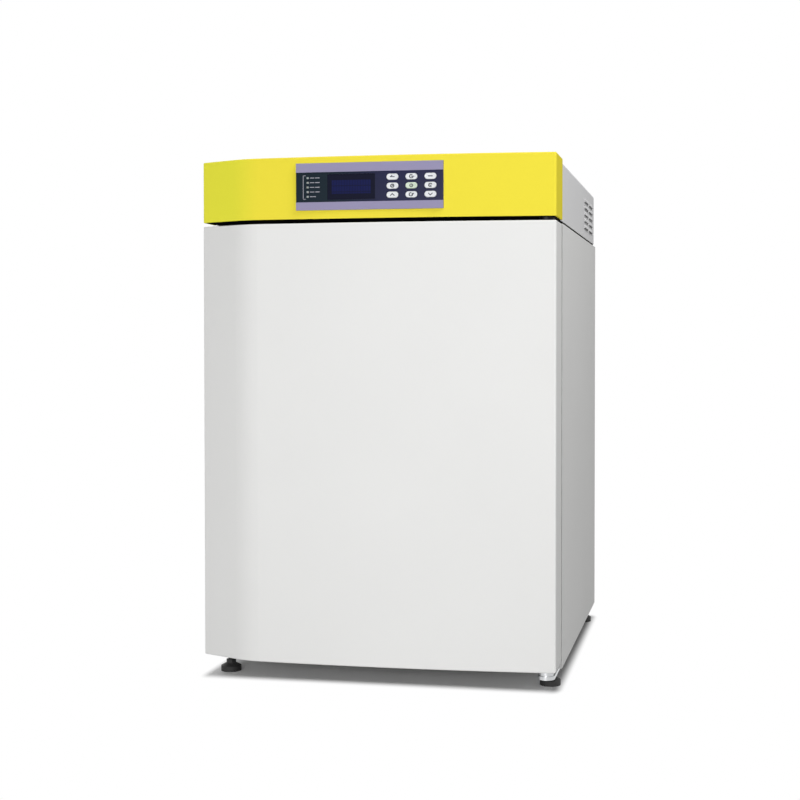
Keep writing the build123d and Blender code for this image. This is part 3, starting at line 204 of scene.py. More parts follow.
class Shader(Graph):
    """One material with its Principled BSDF."""

    def __init__(self, name: str) -> None:
        """Start a node material."""
        self.material = bpy.data.materials.new(name)
        self.material.use_nodes = True
        super().__init__(self.material.node_tree)
        self.surface = self.tree.nodes["Principled BSDF"]
        self.output = self.tree.nodes["Material Output"]

    def set(self, **values: "Value") -> None:
        """Fill sockets of the Principled BSDF; an underscore stands for a space."""
        for key, value in values.items():
            self.connect(self.surface.inputs[key.replace("_", " ")], value)

    def place(self, scale: Point = (1.0, 1.0, 1.0), offset: Point = (0.0, 0.0, 0.0)) -> Wire:
        """Object coordinates, moved and then stretched."""
        here = self.node("ShaderNodeTexCoord", result="Object")
        moved = self.node("ShaderNodeVectorMath", {"operation": "SUBTRACT"}, {0: here, 1: offset})
        return self.node("ShaderNodeVectorMath", {"operation": "MULTIPLY"}, {0: moved, 1: scale})

    def part(self, vector: Wire, axis: Along) -> Wire:
        """One coordinate of a vector."""
        return self.node("ShaderNodeSeparateXYZ", None, {0: vector}, result=axis.value)

    def noise(self, vector: Wire, scale: float, detail: float = 2.0) -> Wire:
        """Noise from 0 to 1."""
        return self.node("ShaderNodeTexNoise", None,
                         {"Vector": vector, "Scale": scale, "Detail": detail}, result=0)

    def blend(self, share: "Value", low: "Value", high: "Value") -> Wire:
        """Mix of two colours."""
        inputs = {0: share, 6: low, 7: high}
        return self.node("ShaderNodeMix", {"data_type": "RGBA"}, inputs, result=2)

    def bump(self, height: Wire, depth: float, strength: float = 1.0) -> Wire:
        """Normal bent by a height that runs from 0 to 1 over a depth in metres."""
        inputs = {"Height": height, "Distance": depth, "Strength": strength}
        return self.node("ShaderNodeBump", None, inputs)


# ---------------------------------------------------------------------------
# Finishes
# ---------------------------------------------------------------------------


def shade(color: RGB, factor: float) -> RGB:
    """The colour times a factor, kept within 0 to 1."""
    return tuple(min(1.0, max(0.0, channel * factor)) for channel in color)


@dataclass(frozen=True)
class Finish:
    """A named surface that is built once and shared."""

    name: str
    color: RGB

    def paint(self, shader: Shader) -> None:
        """Fill in the shader; each kind of finish has its own."""
        raise NotImplementedError

    def material(self) -> bpy.types.Material:
        """The finish's material.

        Returns:
            The material, made on first use.
        """
        known = bpy.data.materials.get(self.name)
        if known:
            return known
        shader = Shader(self.name)
        self.paint(shader)
        return shader.material


@dataclass(frozen=True)
class PowderCoat(Finish):
    """Baked coat on sheet metal with a fine orange-peel texture."""

    roughness: float = 0.42
    peel: float = 520.0
    relief: float = 0.00012
    shine: float = 0.0

    def paint(self, shader: Shader) -> None:
        """Peel texture, faint speckle and slow changes of tone."""
        here = shader.place()
        peel = shader.noise(here, self.peel, 3.0)
        slow = shader.noise(here, 5.0, 2.0)
        tone = (slow - 0.5) * 0.5 + (peel - 0.5) * 0.35 + 0.5
        shader.set(Base_Color=shader.blend(tone, shade(self.color, 0.965), shade(self.color, 1.03)),
                   Roughness=peel * 0.16 + (self.roughness - 0.08), Specular_IOR_Level=self.shine,
                   Normal=shader.bump(peel, self.relief, 0.55))


@dataclass(frozen=True)
class Moulding(Finish):
    """Injection-moulded plastic with a light spark texture."""

    roughness: float = 0.35
    grain: float = 900.0
    relief: float = 0.00005
    shine: float = 0.5

    def paint(self, shader: Shader) -> None:
        """Fine grain and slow changes of gloss."""
        here = shader.place()
        grain = shader.noise(here, self.grain, 2.0)
        slow = shader.noise(here, 7.0, 2.0)
        shader.set(Base_Color=shader.blend(slow, shade(self.color, 0.97), shade(self.color, 1.03)),
                   Roughness=slow * 0.08 + grain * 0.06 + (self.roughness - 0.07),
                   Specular_IOR_Level=self.shine, Normal=shader.bump(grain, self.relief, 0.5))


@dataclass(frozen=True)
class HoodMoulding(Moulding):
    """Yellow moulding with a painted sheen: a lighter, greener tone painted on its slanted left
    end.
    """

    painted_sheen: RGB = (0.900, 0.870, 0.064)
    turn: tuple[float, float] = (-0.255, -0.185)
    speckle: float = 0.04

    def paint(self, shader: Shader) -> None:
        """The moulding's texture with a painted sheen, a second tone left of the line where the
        front turns back.
        """
        super().paint(shader)
        across = shader.part(shader.place(), Along.X).ramp(*self.turn)
        speckle = shader.noise(shader.place(), 300.0, 3.0)
        # Painted sheen: the slanted left end gets a lighter, greener yellow that stands in for
        # light falling on it.
        tone = shader.blend(across, self.painted_sheen, self.color)
        shader.set(Base_Color=shader.blend(speckle, shader.blend(self.speckle, tone, BLACK), tone))


@dataclass(frozen=True)
class BrushedSheet(Finish):
    """Ground stainless sheet: long fine scratches along one axis."""

    along: Along = Along.Y
    roughness: float = 0.30
    scratch: float = 1300.0
    stretch: float = 9.0

    def paint(self, shader: Shader) -> None:
        """Stretch noise along the grain for tone, gloss and relief."""
        scale = [self.scratch] * 3
        scale[self.along.value] = self.stretch
        scratches = shader.noise(shader.place(scale=tuple(scale)), 1.0, 3.0)
        cloud = shader.noise(shader.place(), 9.0, 3.0)
        dark, light = shade(self.color, 0.86), shade(self.color, 1.08)
        shader.set(Base_Color=shader.blend(scratches, dark, light), Metallic=1.0,
                   Roughness=scratches * 0.14 + cloud * 0.08 + (self.roughness - 0.11),
                   Normal=shader.bump(scratches, 0.00003, 0.6))


@dataclass(frozen=True)
class TurnedMetal(Finish):
    """Plated, cast or turned metal with cloudy gloss."""

    roughness: float = 0.32
    cloud: float = 260.0

    def paint(self, shader: Shader) -> None:
        """Cloudy tone and gloss with a slight relief."""
        here = shader.place()
        cloud = shader.noise(here, self.cloud, 4.0)
        fine = shader.noise(here, self.cloud * 9.0, 2.0)
        shader.set(Base_Color=shader.blend(cloud, shade(self.color, 0.85), shade(self.color, 1.08)),
                   Metallic=1.0, Roughness=cloud * 0.14 + (self.roughness - 0.07),
                   Normal=shader.bump(fine, 0.00002, 0.5))


@dataclass(frozen=True)
class ClearPane(Finish):
    """Tempered glass with a green cast and faint wiping marks."""

    def paint(self, shader: Shader) -> None:
        """Transmission, with marks in the roughness."""
        wipe = shader.noise(shader.place(scale=(3.0, 3.0, 14.0)), 4.0, 4.0)
        shader.set(Base_Color=shader.blend(wipe, self.color, shade(self.color, 0.985)),
                   Roughness=wipe * 0.03, Transmission_Weight=1.0, IOR=1.5)


@dataclass(frozen=True)
class SoftRubber(Finish):
    """Rubber or silicone: dull, with dust in its pores."""

    roughness: float = 0.62
    glow: float = 0.0

    def paint(self, shader: Shader) -> None:
        """Pores in the relief and a dusty change of tone."""
        here = shader.place()
        pores = shader.noise(here, 1400.0, 3.0)
        dust = shader.noise(here, 35.0, 4.0)
        shader.set(Base_Color=shader.blend(dust, shade(self.color, 0.9), shade(self.color, 1.12)),
                   Roughness=dust * 0.15 + (self.roughness - 0.07),
                   Subsurface_Weight=self.glow, Subsurface_Scale=0.004,
                   Normal=shader.bump(pores, 0.00004, 0.5))


@dataclass(frozen=True)
class FibreBoard(Finish):
    """Pressed insulation board with fibres on its face."""

    def paint(self, shader: Shader) -> None:
        """Stretched noise for fibres over cloudy binder."""
        fibres = shader.noise(shader.place(scale=(90.0, 90.0, 700.0)), 1.0, 4.0)
        binder = shader.noise(shader.place(), 30.0, 5.0)
        tone = fibres * 0.6 + binder * 0.4
        shader.set(Base_Color=shader.blend(tone, shade(self.color, 0.7), shade(self.color, 1.25)),
                   Roughness=0.95, Normal=shader.bump(tone, 0.0006, 0.8))


@dataclass(frozen=True)
class HeaterFoil(Finish):
    """Etched heating mat: a film with parallel conductor tracks."""

    track: RGB = (0.60, 0.38, 0.20)
    pitch: float = 0.008
    share: float = 0.62

    def paint(self, shader: Shader) -> None:
        """Tracks that repeat with height."""
        height = shader.part(shader.place(), Along.Z)
        line = height.repeat(self.pitch).below(self.pitch * self.share)
        shader.set(Base_Color=shader.blend(line, self.color, self.track), Metallic=line * 0.7,
                   Roughness=0.4, Normal=shader.bump(line, 0.00006, 0.6))


@dataclass(frozen=True)
class CircuitBoard(Finish):
    """Lacquered board with copper tracks under the lacquer."""

    cells: float = 210.0
    track: float = 0.09

    def paint(self, shader: Shader) -> None:
        """Cell borders as tracks, a shade lighter than the lacquer."""
        settings = {"feature": "DISTANCE_TO_EDGE", "distance": "CHEBYCHEV"}
        inputs = {"Vector": shader.place(), "Scale": self.cells}
        edge = shader.node("ShaderNodeTexVoronoi", settings, inputs, result="Distance")
        track = edge.below(self.track)
        shader.set(Base_Color=shader.blend(track, self.color, shade(self.color, 1.9)),
                   Roughness=0.28, Normal=shader.bump(track, 0.00003, 0.5))


@dataclass(frozen=True)
class PrintedFilm(Finish):
    """Overlay film on the panel: dark print that shifts in tone along the band."""

    far: RGB = (0.016, 0.017, 0.055)
    turn: tuple[float, float] = (-0.08, 0.04)

    def paint(self, shader: Shader) -> None:
        """Slate to navy from left to right, with film texture."""
        here = shader.place()
        across = shader.part(here, Along.X).ramp(*self.turn)
        film = shader.noise(here, 1500.0, 2.0)
        shader.set(Base_Color=shader.blend(across, self.color, self.far),
                   Roughness=film * 0.1 + 0.2, Specular_IOR_Level=0.06,
                   Normal=shader.bump(film, 0.00002, 0.4))


@dataclass(frozen=True)
class DotDisplay(Finish):
    """Unlit character display with a painted glow: a bright field of cells inside a dark border,
    given a faint blue emission.
    """

    middle: Point = (-0.0325, 0.0, 0.8485)
    half_width: float = 0.0345
    half_height: float = 0.0125
    lit: RGB = (0.003, 0.006, 0.048)
    glow: RGB = (0.004, 0.005, 0.045)
    border: float = 0.002
    cell: tuple[float, float] = (0.0046, 0.0046 * 2.2)
    cell_lit: tuple[float, float] = (0.0046 * 0.86, 0.0046 * 1.9)
    dot: float = 0.0009
    dot_lit: float = 0.0007
    offset: float = 0.2

    def paint(self, shader: Shader) -> None:
        """Field mask, and dots as a fine grid within it."""
        here = shader.place(offset=self.middle)
        across, up = shader.part(here, Along.X), shader.part(here, Along.Z)
        inside = (1 - abs(across).ramp(self.half_width - self.border, self.half_width)) \
            * (1 - abs(up).ramp(self.half_height - self.border, self.half_height))
        right, high = across + self.offset, up + self.offset
        cells = right.repeat(self.cell[0]).below(self.cell_lit[0]) \
            * high.repeat(self.cell[1]).below(self.cell_lit[1])
        dots = right.repeat(self.dot).below(self.dot_lit) \
            * high.repeat(self.dot).below(self.dot_lit)
        mask = inside * (cells * 0.45 + dots * cells * 0.25 + 0.3)
        # Painted glow: the cell field gets a brighter blue colour and a faint emission, though the
        # display has no light of its own.
        shader.set(Base_Color=shader.blend(mask, self.color, self.lit), Roughness=0.09,
                   Specular_IOR_Level=0.12, Emission_Color=shader.blend(mask, BLACK, self.glow),
                   Emission_Strength=0.5)


@dataclass(frozen=True)
class FrostedLens(Finish):
    """Unlit light pipe: milky and a little translucent."""

    def paint(self, shader: Shader) -> None:
        """Milky tone with a soft core."""
        milk = shader.noise(shader.place(), 900.0, 2.0)
        shader.set(Base_Color=shader.blend(milk, shade(self.color, 0.9), shade(self.color, 1.1)),
                   Roughness=0.35, Subsurface_Weight=0.3, Subsurface_Scale=0.002)


@dataclass(frozen=True)
class Ink(Finish):
    """Printed mark."""

    def paint(self, shader: Shader) -> None:
        """Ink with a slightly uneven cover."""
        cover = shader.noise(shader.place(), 2500.0, 2.0)
        shader.set(Base_Color=shader.blend(cover, shade(self.color, 0.85), shade(self.color, 1.1)),
                   Roughness=0.5)


WHITE_ENAMEL = PowderCoat("white_enamel_coat", (0.800, 0.800, 0.790))
WHITE_FRAME = Moulding("white_frame_moulding", (0.760, 0.760, 0.750), roughness=0.45)
GREY_COVER = PowderCoat("grey_cover_coat", (0.770, 0.770, 0.775), roughness=0.45)
HOOD_YELLOW = HoodMoulding("yellow_hood_moulding", (0.870, 0.742, 0.058), roughness=0.5, shine=0.0)
BLACK_COAT = PowderCoat("black_matt_coat", (0.018, 0.018, 0.020), roughness=0.55)
STAINLESS_LONG = BrushedSheet("stainless_ground_lengthwise", (0.64, 0.64, 0.63), along=Along.Y)
STAINLESS_WIDE = BrushedSheet("stainless_ground_crosswise", (0.62, 0.62, 0.61), along=Along.X)
STAINLESS_HIGH = BrushedSheet("stainless_ground_upright", (0.64, 0.64, 0.63), along=Along.Z,
                              roughness=0.34)
ZINC_PLATE = TurnedMetal("zinc_plate", (0.60, 0.61, 0.62))
# Painted shade: zinc-plated steel coloured near black so that the top hinge bracket reads as the
# shaded gap under the hood.
ZINC_PAINTED_SHADE = TurnedMetal("black_zinc_plate", (0.030, 0.030, 0.032), roughness=0.5)
BRIGHT_STEEL = TurnedMetal("bright_screw_steel", (0.62, 0.62, 0.62), roughness=0.25)
CAST_ALUMINIUM = TurnedMetal("cast_aluminium", (0.66, 0.67, 0.68), roughness=0.42)
BRASS = TurnedMetal("turned_brass", (0.78, 0.58, 0.26), roughness=0.25)
BLACK_PLASTIC = Moulding("black_fitting_plastic", (0.020, 0.020, 0.022), roughness=0.42)
NYLON = Moulding("natural_nylon", (0.72, 0.70, 0.63), roughness=0.45)
DARK_NYLON = Moulding("dark_bush_nylon", (0.045, 0.045, 0.045), roughness=0.5)
BLACK_RUBBER = SoftRubber("black_foot_rubber", (0.018, 0.018, 0.018), roughness=0.7)
GREY_SEAL = SoftRubber("grey_door_seal", (0.42, 0.42, 0.43))
SILICONE = SoftRubber("translucent_silicone", (0.70, 0.70, 0.67), roughness=0.42, glow=0.25)
PANE = ClearPane("tempered_pane", (0.90, 0.97, 0.95))
FIBRE = FibreBoard("pressed_fibre_board", (0.52, 0.47, 0.30))
HEATER = HeaterFoil("etched_heater_mat", (0.62, 0.46, 0.12))
BOARD = CircuitBoard("green_circuit_board", (0.020, 0.130, 0.050))
SILVER_BEZEL = Moulding("silver_bezel_lacquer", (0.305, 0.283, 0.430), roughness=0.4, shine=0.0)
OVERLAY = PrintedFilm("dark_overlay_film", (0.009, 0.018, 0.027))
DISPLAY = DotDisplay("character_display", (0.003, 0.004, 0.018))
LENS = FrostedLens("frosted_lens", (0.30, 0.34, 0.33))
SCREEN = FibreBoard("pale_dust_screen", (0.80, 0.80, 0.80))
KEY_WHITE = Moulding("white_key_cap", (0.730, 0.745, 0.770), roughness=0.38, shine=0.2)
KEY_GREEN = Moulding("pale_green_key_cap", (0.600, 0.690, 0.570), roughness=0.38, shine=0.2)
INK_DARK = Ink("dark_key_ink", (0.012, 0.014, 0.045))
INK_LIGHT = Ink("pale_legend_ink", (0.36, 0.36, 0.42))

GREEN_KEY = 5
KEY_FINISHES = {number: KEY_GREEN if number == GREEN_KEY else KEY_WHITE for number in range(1, 10)}
NODE_FINISHES: dict[str, Finish] = {
    "base_pan": WHITE_ENAMEL, "side_panel_left": WHITE_ENAMEL, "side_panel_right": WHITE_ENAMEL,
    "rear_panel": WHITE_ENAMEL, "front_frame": WHITE_FRAME, "equipment_deck": BLACK_COAT,
    "chamber_liner": STAINLESS_LONG, "heater_mats": HEATER, "insulation_jacket": FIBRE,
    "shelf_rack_left": STAINLESS_HIGH, "shelf_rack_right": STAINLESS_HIGH,
    "humidity_pan": STAINLESS_WIDE,
    "fan_wheel": CAST_ALUMINIUM, "fan_shroud": STAINLESS_WIDE, "fan_motor": BLACK_COAT,
    "sensor_block": CAST_ALUMINIUM, "inner_door_gasket": SILICONE, "inner_door_glass": PANE,
    "inner_door_hinges": ZINC_PLATE, "inner_hinge_posts": ZINC_PLATE,
    "inner_door_knob": BLACK_PLASTIC,
    "door_skin": WHITE_ENAMEL, "door_inner_panel": WHITE_ENAMEL, "door_insulation": FIBRE,
    "door_gasket": GREY_SEAL, "door_bushes": DARK_NYLON, "hinge_bracket_bottom": ZINC_PLATE,
    # Painted shade: hood_underside and hinge_bracket_top get near-black finishes that stand in for
    # the shade of the gap above the door.
    "hinge_bracket_top": ZINC_PAINTED_SHADE, "hood_fascia": HOOD_YELLOW, "hood_underside": BLACK_COAT,
    "panel_bezel": SILVER_BEZEL, "panel_overlay": OVERLAY, "display_module": DISPLAY,
    "status_lights": LENS, "control_board": BOARD, "top_cover": GREY_COVER,
    "connector_panel": WHITE_ENAMEL, "power_supply": CAST_ALUMINIUM, "gas_valve": BRASS,
    "gas_inlet": BRASS, "power_inlet": BLACK_PLASTIC, "power_switch": BLACK_PLASTIC,
    "access_port": NYLON, "port_plug": SILICONE,
    "shelf_1": STAINLESS_WIDE, "shelf_2": STAINLESS_WIDE, "shelf_3": STAINLESS_WIDE,
    **{f"button_{number}": finish for number, finish in KEY_FINISHES.items()},
    **{f"foot_{end}_{side}": BLACK_RUBBER
       for end in ("front", "rear") for side in ("left", "right")},
}


# ---------------------------------------------------------------------------
# Mesh helpers
# ---------------------------------------------------------------------------


class Workpiece:
    """A bmesh that becomes one finished piece at the origin."""

    def __init__(self) -> None:
        """Start an empty mesh."""
        self.mesh = bmesh.new()

    def box(self, low: Point, high: Point) -> list[bmesh.types.BMVert]:
        """Add a box between two corners and hand back its vertices."""
        size = [b - a for a, b in zip(low, high)]
        middle = [(a + b) / 2 for a, b in zip(low, high)]
        matrix = Matrix.Translation(middle) @ Matrix.Diagonal((*size, 1.0))
        return bmesh.ops.create_cube(self.mesh, size=1.0, matrix=matrix)["verts"]

    def disc(self, middle: Point, radius: float, facing: Along,
             sides: int) -> list[bmesh.types.BMVert]:
        """Add a filled disc that faces along an axis and hand back its vertices."""
        turn = {Along.X: Matrix.Rotation(math.pi / 2, 4, "Y"),
                Along.Y: Matrix.Rotation(-math.pi / 2, 4, "X"), Along.Z: Matrix.Identity(4)}[facing]
        matrix = Matrix.Translation(middle) @ turn
        return bmesh.ops.create_circle(self.mesh, cap_ends=True, segments=sides, radius=radius,
                                       matrix=matrix)["verts"]

    def raise_faces(self, faces: Iterable[bmesh.types.BMFace],
                    step: Point) -> list[bmesh.types.BMFace]:
        """Extrude faces as one region and move them.

        Args:
            faces: The faces to extrude.
            step: How far they move.

        Returns:
            The moved faces.
        """
        region = list(faces)
        region += list(dict.fromkeys(edge for face in region for edge in face.edges))
        made = bmesh.ops.extrude_face_region(self.mesh, geom=region)["geom"]
        verts = [item for item in made if isinstance(item, bmesh.types.BMVert)]
        bmesh.ops.translate(self.mesh, vec=Vector(step), verts=verts)
        return [item for item in made if isinstance(item, bmesh.types.BMFace)]

    def offset(self, faces: Iterable[bmesh.types.BMFace], middle: Flat, shift: float,
               old: float, new: float) -> None:
        """Move the rim of a stadium in or out in the XZ plane.

        Args:
            faces: Faces whose corners are all on the rim.
            middle: The stadium's middle in X and Z.
            shift: Distance from the middle to the centre of each end.
            old: The end radius now.
            new: The end radius wanted.
        """
        for vert in dict.fromkeys(vert for face in faces for vert in face.verts):
            centre = middle[0] + math.copysign(shift, vert.co.x - middle[0])
            vert.co.x = centre + (vert.co.x - centre) * new / old
            vert.co.z = middle[1] + (vert.co.z - middle[1]) * new / old

    def bevel(self, width: float, segments: int = 2, angle: float = 0.6) -> None:
        """Round every edge that is sharper than an angle in radians."""
        sharp = [edge for edge in self.mesh.edges
                 if len(edge.link_faces) == 2 and edge.calc_face_angle(0.0) > angle]
        bmesh.ops.bevel(self.mesh, geom=sharp, offset=width, segments=segments, profile=0.5,
                        affect="EDGES", clamp_overlap=True, material=-1)

    def _ordered(self) -> bmesh.types.BMesh:
        """Copy the mesh with vertices and faces sorted by place.

        The operators hand elements back in an order that changes from run to run.

        Returns:
            The same shape in an order that only its coordinates decide.
        """
        order = sorted(self.mesh.verts, key=lambda vert: tuple(vert.co))
        number = {vert: index for index, vert in enumerate(order)}
        rings = [[number[vert] for vert in face.verts] for face in self.mesh.faces]
        ordered = bmesh.new()
        verts = [ordered.verts.new(vert.co) for vert in order]
        for ring in sorted(rings, key=sorted):
            ordered.faces.new([verts[index] for index in ring])
        return ordered

    def finish(self, name: str, finish: Finish, body: str, angle: float = 0.6) -> bpy.types.Object:
        """Turn the mesh into an object with smooth faces and let it ride on a body.

        Args:
            name: The piece's name.
            finish: Its surface.
            body: The body that carries it.
            angle: Edges sharper than this stay sharp, in radians.

        Returns:
            The finished piece.
        """
        bmesh.ops.remove_doubles(self.mesh, verts=self.mesh.verts, dist=1e-6)
        bmesh.ops.recalc_face_normals(self.mesh, faces=self.mesh.faces)
        data = bpy.data.meshes.new(name)
        ordered = self._ordered()
        ordered.to_mesh(data)
        ordered.free()
        self.mesh.free()
        data.shade_smooth()
        data.set_sharp_from_angle(angle=angle)
        data.materials.append(finish.material())
        piece = bpy.data.objects.new(name, data)
        bpy.context.scene.collection.objects.link(piece)
        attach(piece, body)
        LOG.info("%s: %d faces on %s", name, len(data.polygons), body)
        return piece


# ---------------------------------------------------------------------------
# Sub-assemblies
# ---------------------------------------------------------------------------


@dataclass(frozen=True)
class Stroke:
    """Straight stroke of a key symbol, in symbol sizes from the key's middle."""

    start: Flat
    end: Flat
    weight: float = 1.0


@dataclass(frozen=True)
class Arc:
    """Curved stroke of a key symbol, in symbol sizes and degrees."""

    radius: float
    start: float
    end: float
    shift: float = 0.0
    weight: float = 1.0


ARC_STEP = 24
SYMBOLS: dict[int, tuple[Union[Stroke, Arc], ...]] = {
    1: (Stroke((-1.0, 0.0), (1.0, 0.0)), Stroke((-1.0, 0.0), (-0.2, 0.7))),
    2: (Arc(0.9, 60, 330), Stroke((0.2, 0.0), (1.5, 0.0))),
    3: (Stroke((-1.0, 0.0), (1.0, 0.0), 1.2),),
    4: (Arc(0.85, 0, 360), Stroke((0.0, 0.0), (0.5, 0.5))),
    5: (Arc(0.8, 130, 410, weight=0.8), Stroke((0.0, 0.0), (0.0, 1.0), 0.8)),
    6: (Arc(0.9, 30, 300), Stroke((-0.3, 0.0), (0.4, -0.4))),
    7: (Stroke((-1.0, -0.35), (0.0, 0.55)), Stroke((0.0, 0.55), (1.0, -0.35))),
    8: (Arc(0.9, 90, 400, shift=-0.2), Stroke((0.3, -0.4), (1.3, 0.5))),
    9: (Stroke((-1.0, 0.4), (0.0, -0.5)), Stroke((0.0, -0.5), (1.0, 0.4))),
}


@dataclass
class ControlPanel:
    """Print on the hood's panel: key symbols, lamp legends and their bracket line."""

    x: float = -0.002
    face: float = -0.3725
    cap_face: float = -0.3735
    key_x: float = 0.0724
    pitch_x: float = 0.0322
    pitch_z: float = 0.0149
    middle_z: float = 0.8485
    lamp_x: float = -0.1057
    lamp_pitch: float = 0.0078
    ink: float = 0.00008
    stroke: float = 0.0014
    symbol: float = 0.0031
    dish: float = 0.00035
    roll: tuple[tuple[float, float], ...] = (
        (0.0, 0.0008), (0.0003, 0.0003), (0.0008, 0.0), (0.0013, 0.0001), (0.0021, 0.00035))
    bracket_x: float = -0.1134
    bracket_reach: float = 0.004
    bracket_lines: tuple[float, float] = (0.0009, 0.0007)
    legend_gap: float = 0.0045
    legend_lengths: tuple[float, ...] = (0.0185, 0.0185, 0.0185, 0.0185, 0.011)
    legend_line: float = 0.0011
    legend_words: tuple[tuple[float, float], ...] = ((0.0, 0.35), (0.5, 0.85))
    cap_half: Flat = (0.0100, 0.0051)
    lip_grow: float = 0.0012
    lip_back: float = -0.36795
    lip_front: float = -0.3687

    def _cap(self, number: int, x: float, z: float) -> None:
        """Build one key: lip, cap with a rolled edge and a dished face.

        Args:
            number: The key, row by row from the top left.
            x: The key's middle.
            z: The key's height.
        """
        work = Workpiece()
        half_width, radius = self.cap_half
        shift = half_width - radius
        verts = work.disc((x, self.lip_back, z), radius, Along.Y, 32)
        for vert in verts:
            vert.co.x += math.copysign(shift, vert.co.x - x)
        face = list(dict.fromkeys(face for vert in verts for face in vert.link_faces))
        work.offset(face, (x, z), shift, radius, radius + self.lip_grow)
        face = work.raise_faces(face, (0.0, self.lip_front - self.lip_back, 0.0))
        face = work.raise_faces(face, (0.0, 0.0, 0.0))
        work.offset(face, (x, z), shift, radius + self.lip_grow, radius)
        reach, rolled = radius, self.lip_front
        for inset, depth in self.roll:
            face = work.raise_faces(face, (0.0, self.cap_face + depth - rolled, 0.0))
            work.offset(face, (x, z), shift, reach, radius - inset)
            rolled, reach = self.cap_face + depth, radius - inset
        piece = work.finish(f"key_cap_{number}", KEY_FINISHES[number], f"key_{number}", angle=0.9)
        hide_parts(f"button_{number}")

    def _stroke(self, work: Workpiece, start: Flat, end: Flat, width: float, face: float) -> None:
        """Lay one straight stroke of ink.

        Args:
            work: The piece that gets it.
            start: Its first point in X and Z.
            end: Its last point in X and Z.
            width: Its width.
            face: The surface it lies on.
        """
        a, b = Vector((start[0], 0.0, start[1])), Vector((end[0], 0.0, end[1]))
        run = b - a
        turn = Vector((1.0, 0.0, 0.0)).rotation_difference(run.normalized()).to_matrix().to_4x4()
        middle = (a + b) / 2 + Vector((0.0, face - self.ink / 2, 0.0))
        size = Matrix.Diagonal((run.length + width, self.ink, width, 1.0))
        bmesh.ops.create_cube(work.mesh, size=1.0, matrix=Matrix.Translation(middle) @ turn @ size)

    def _arc(self, work: Workpiece, arc: Arc, x: float, z: float) -> None:
        """Lay a curved stroke as short straight ones.

        Args:
            work: The piece that gets it.
            arc: The curve.
            x: The key's middle.
            z: The key's height.
        """
        middle, radius = x + self.symbol * arc.shift, self.symbol * arc.radius
        steps = max(3, int(abs(arc.end - arc.start) / ARC_STEP))
        points = []
        for index in range(steps + 1):
            angle = math.radians(arc.start + (arc.end - arc.start) * index / steps)
            points.append((middle + radius * math.cos(angle), z + radius * math.sin(angle)))
        for first, last in zip(points, points[1:]):
            self._stroke(work, first, last, self.stroke * arc.weight, self.cap_face + self.dish)

    def _symbol(self, work: Workpiece, number: int, x: float, z: float) -> None:
        """Draw the generic symbol of one key.

        Args:
            work: The piece that gets it.
            number: The key, row by row from the top left.
            x: The key's middle.
            z: The key's height.
        """
        for mark in SYMBOLS[number]:
            if isinstance(mark, Arc):
                self._arc(work, mark, x, z)
                continue
            start, end = ((x + self.symbol * right, z + self.symbol * up)
                          for right, up in (mark.start, mark.end))
            self._stroke(work, start, end, self.stroke * mark.weight, self.cap_face + self.dish)

    def build(self) -> None:
        """Print the keys, the lamp legends and the bracket line."""
        for number in range(1, 10):
            row, column = divmod(number - 1, 3)
            x = self.x + self.key_x + (column - 1) * self.pitch_x
            z = self.middle_z + (1 - row) * self.pitch_z
            self._cap(number, x, z)
            work = Workpiece()
            self._symbol(work, number, x, z)
            work.finish(f"key_mark_{number}", INK_DARK, f"key_{number}")
        work = Workpiece()
        left, reach = self.x + self.bracket_x, self.bracket_reach
        tall, short = self.bracket_lines
        line = self._stroke
        heights = [self.middle_z + (2 - index) * self.lamp_pitch for index in range(5)]
        top, bottom = heights[0] + reach, heights[-1] - reach
        line(work, (left, top), (left, bottom), tall, self.face)
        line(work, (left, top), (left + reach, top), short, self.face)
        line(work, (left, bottom), (left + reach, bottom), short, self.face)
        start = self.x + self.lamp_x + self.legend_gap
        for z, length in zip(heights, self.legend_lengths):
            for first, last in self.legend_words:
                line(work, (start + length * first, z), (start + length * last, z),
                     self.legend_line, self.face)
        work.finish("lamp_legend", INK_LIGHT, "cabinet")


@dataclass
class ScrewSet:
    """Pan-head screws that hold the sheets, all of one size."""

    name: str
    places: list[Point]
    facing: Along
    outward: int
    radius: float = 0.0036
    height: float = 0.0018
    skirt: float = 0.45
    dome: tuple[tuple[float, float], ...] = ((0.35, 0.16), (0.2, 0.22))
    drive: Point = (1.1, 0.28, 0.08)
    drive_turn: float = 0.4
    drive_height: float = 0.99
    recess: Recess = Recess.CROSS
    finish: Finish = BRIGHT_STEEL
    body: str = "cabinet"
    slot: str = "zinc_steel"

    def _head(self, work: Workpiece, place: Point) -> None:
        """Add one head: a disc drawn out twice into a domed cap, with its drive sunk in.

        Args:
            work: The piece that gets it.
            place: Its middle on the sheet.
        """
        step = Vector([0.0, 0.0, 0.0])
        step[self.facing.value] = self.outward
        verts = work.disc(place, self.radius, self.facing, 20)
        top = list(dict.fromkeys(face for vert in verts for face in vert.link_faces))
        top = work.raise_faces(top, step * self.height * self.skirt)
        for height, inset in self.dome:
            top = work.raise_faces(top, step * self.height * height)
            rim = list(dict.fromkeys(vert for face in top for vert in face.verts))
            bmesh.ops.scale(work.mesh, verts=rim, vec=(1 - inset,) * 3,
                            space=Matrix.Translation(-(Vector(place) + step * self.height)))
        arms = 2 if self.recess is Recess.CROSS else 3
        across = [axis for axis in range(3) if axis != self.facing.value]
        for arm in range(arms):
            size = Vector([0.0, 0.0, 0.0])
            size[across[0]] = self.radius * self.drive[0]
            size[across[1]] = self.radius * self.drive[1]
            size[self.facing.value] = self.height * self.drive[2]
            angle = math.pi * arm / arms + self.drive_turn
            spin = Matrix.Rotation(angle, 4, self.facing.name)
            middle = Vector(place) + step * self.height * self.drive_height
            matrix = Matrix.Translation(middle) @ spin @ Matrix.Diagonal((*size, 1.0))
            bmesh.ops.create_cube(work.mesh, size=1.0, matrix=matrix)

    def build(self) -> None:
        """Make every screw of the set as one piece."""
        work = Workpiece()
        for place in self.places:
            self._head(work, place)
        work.finish(self.name, self.finish, self.body)


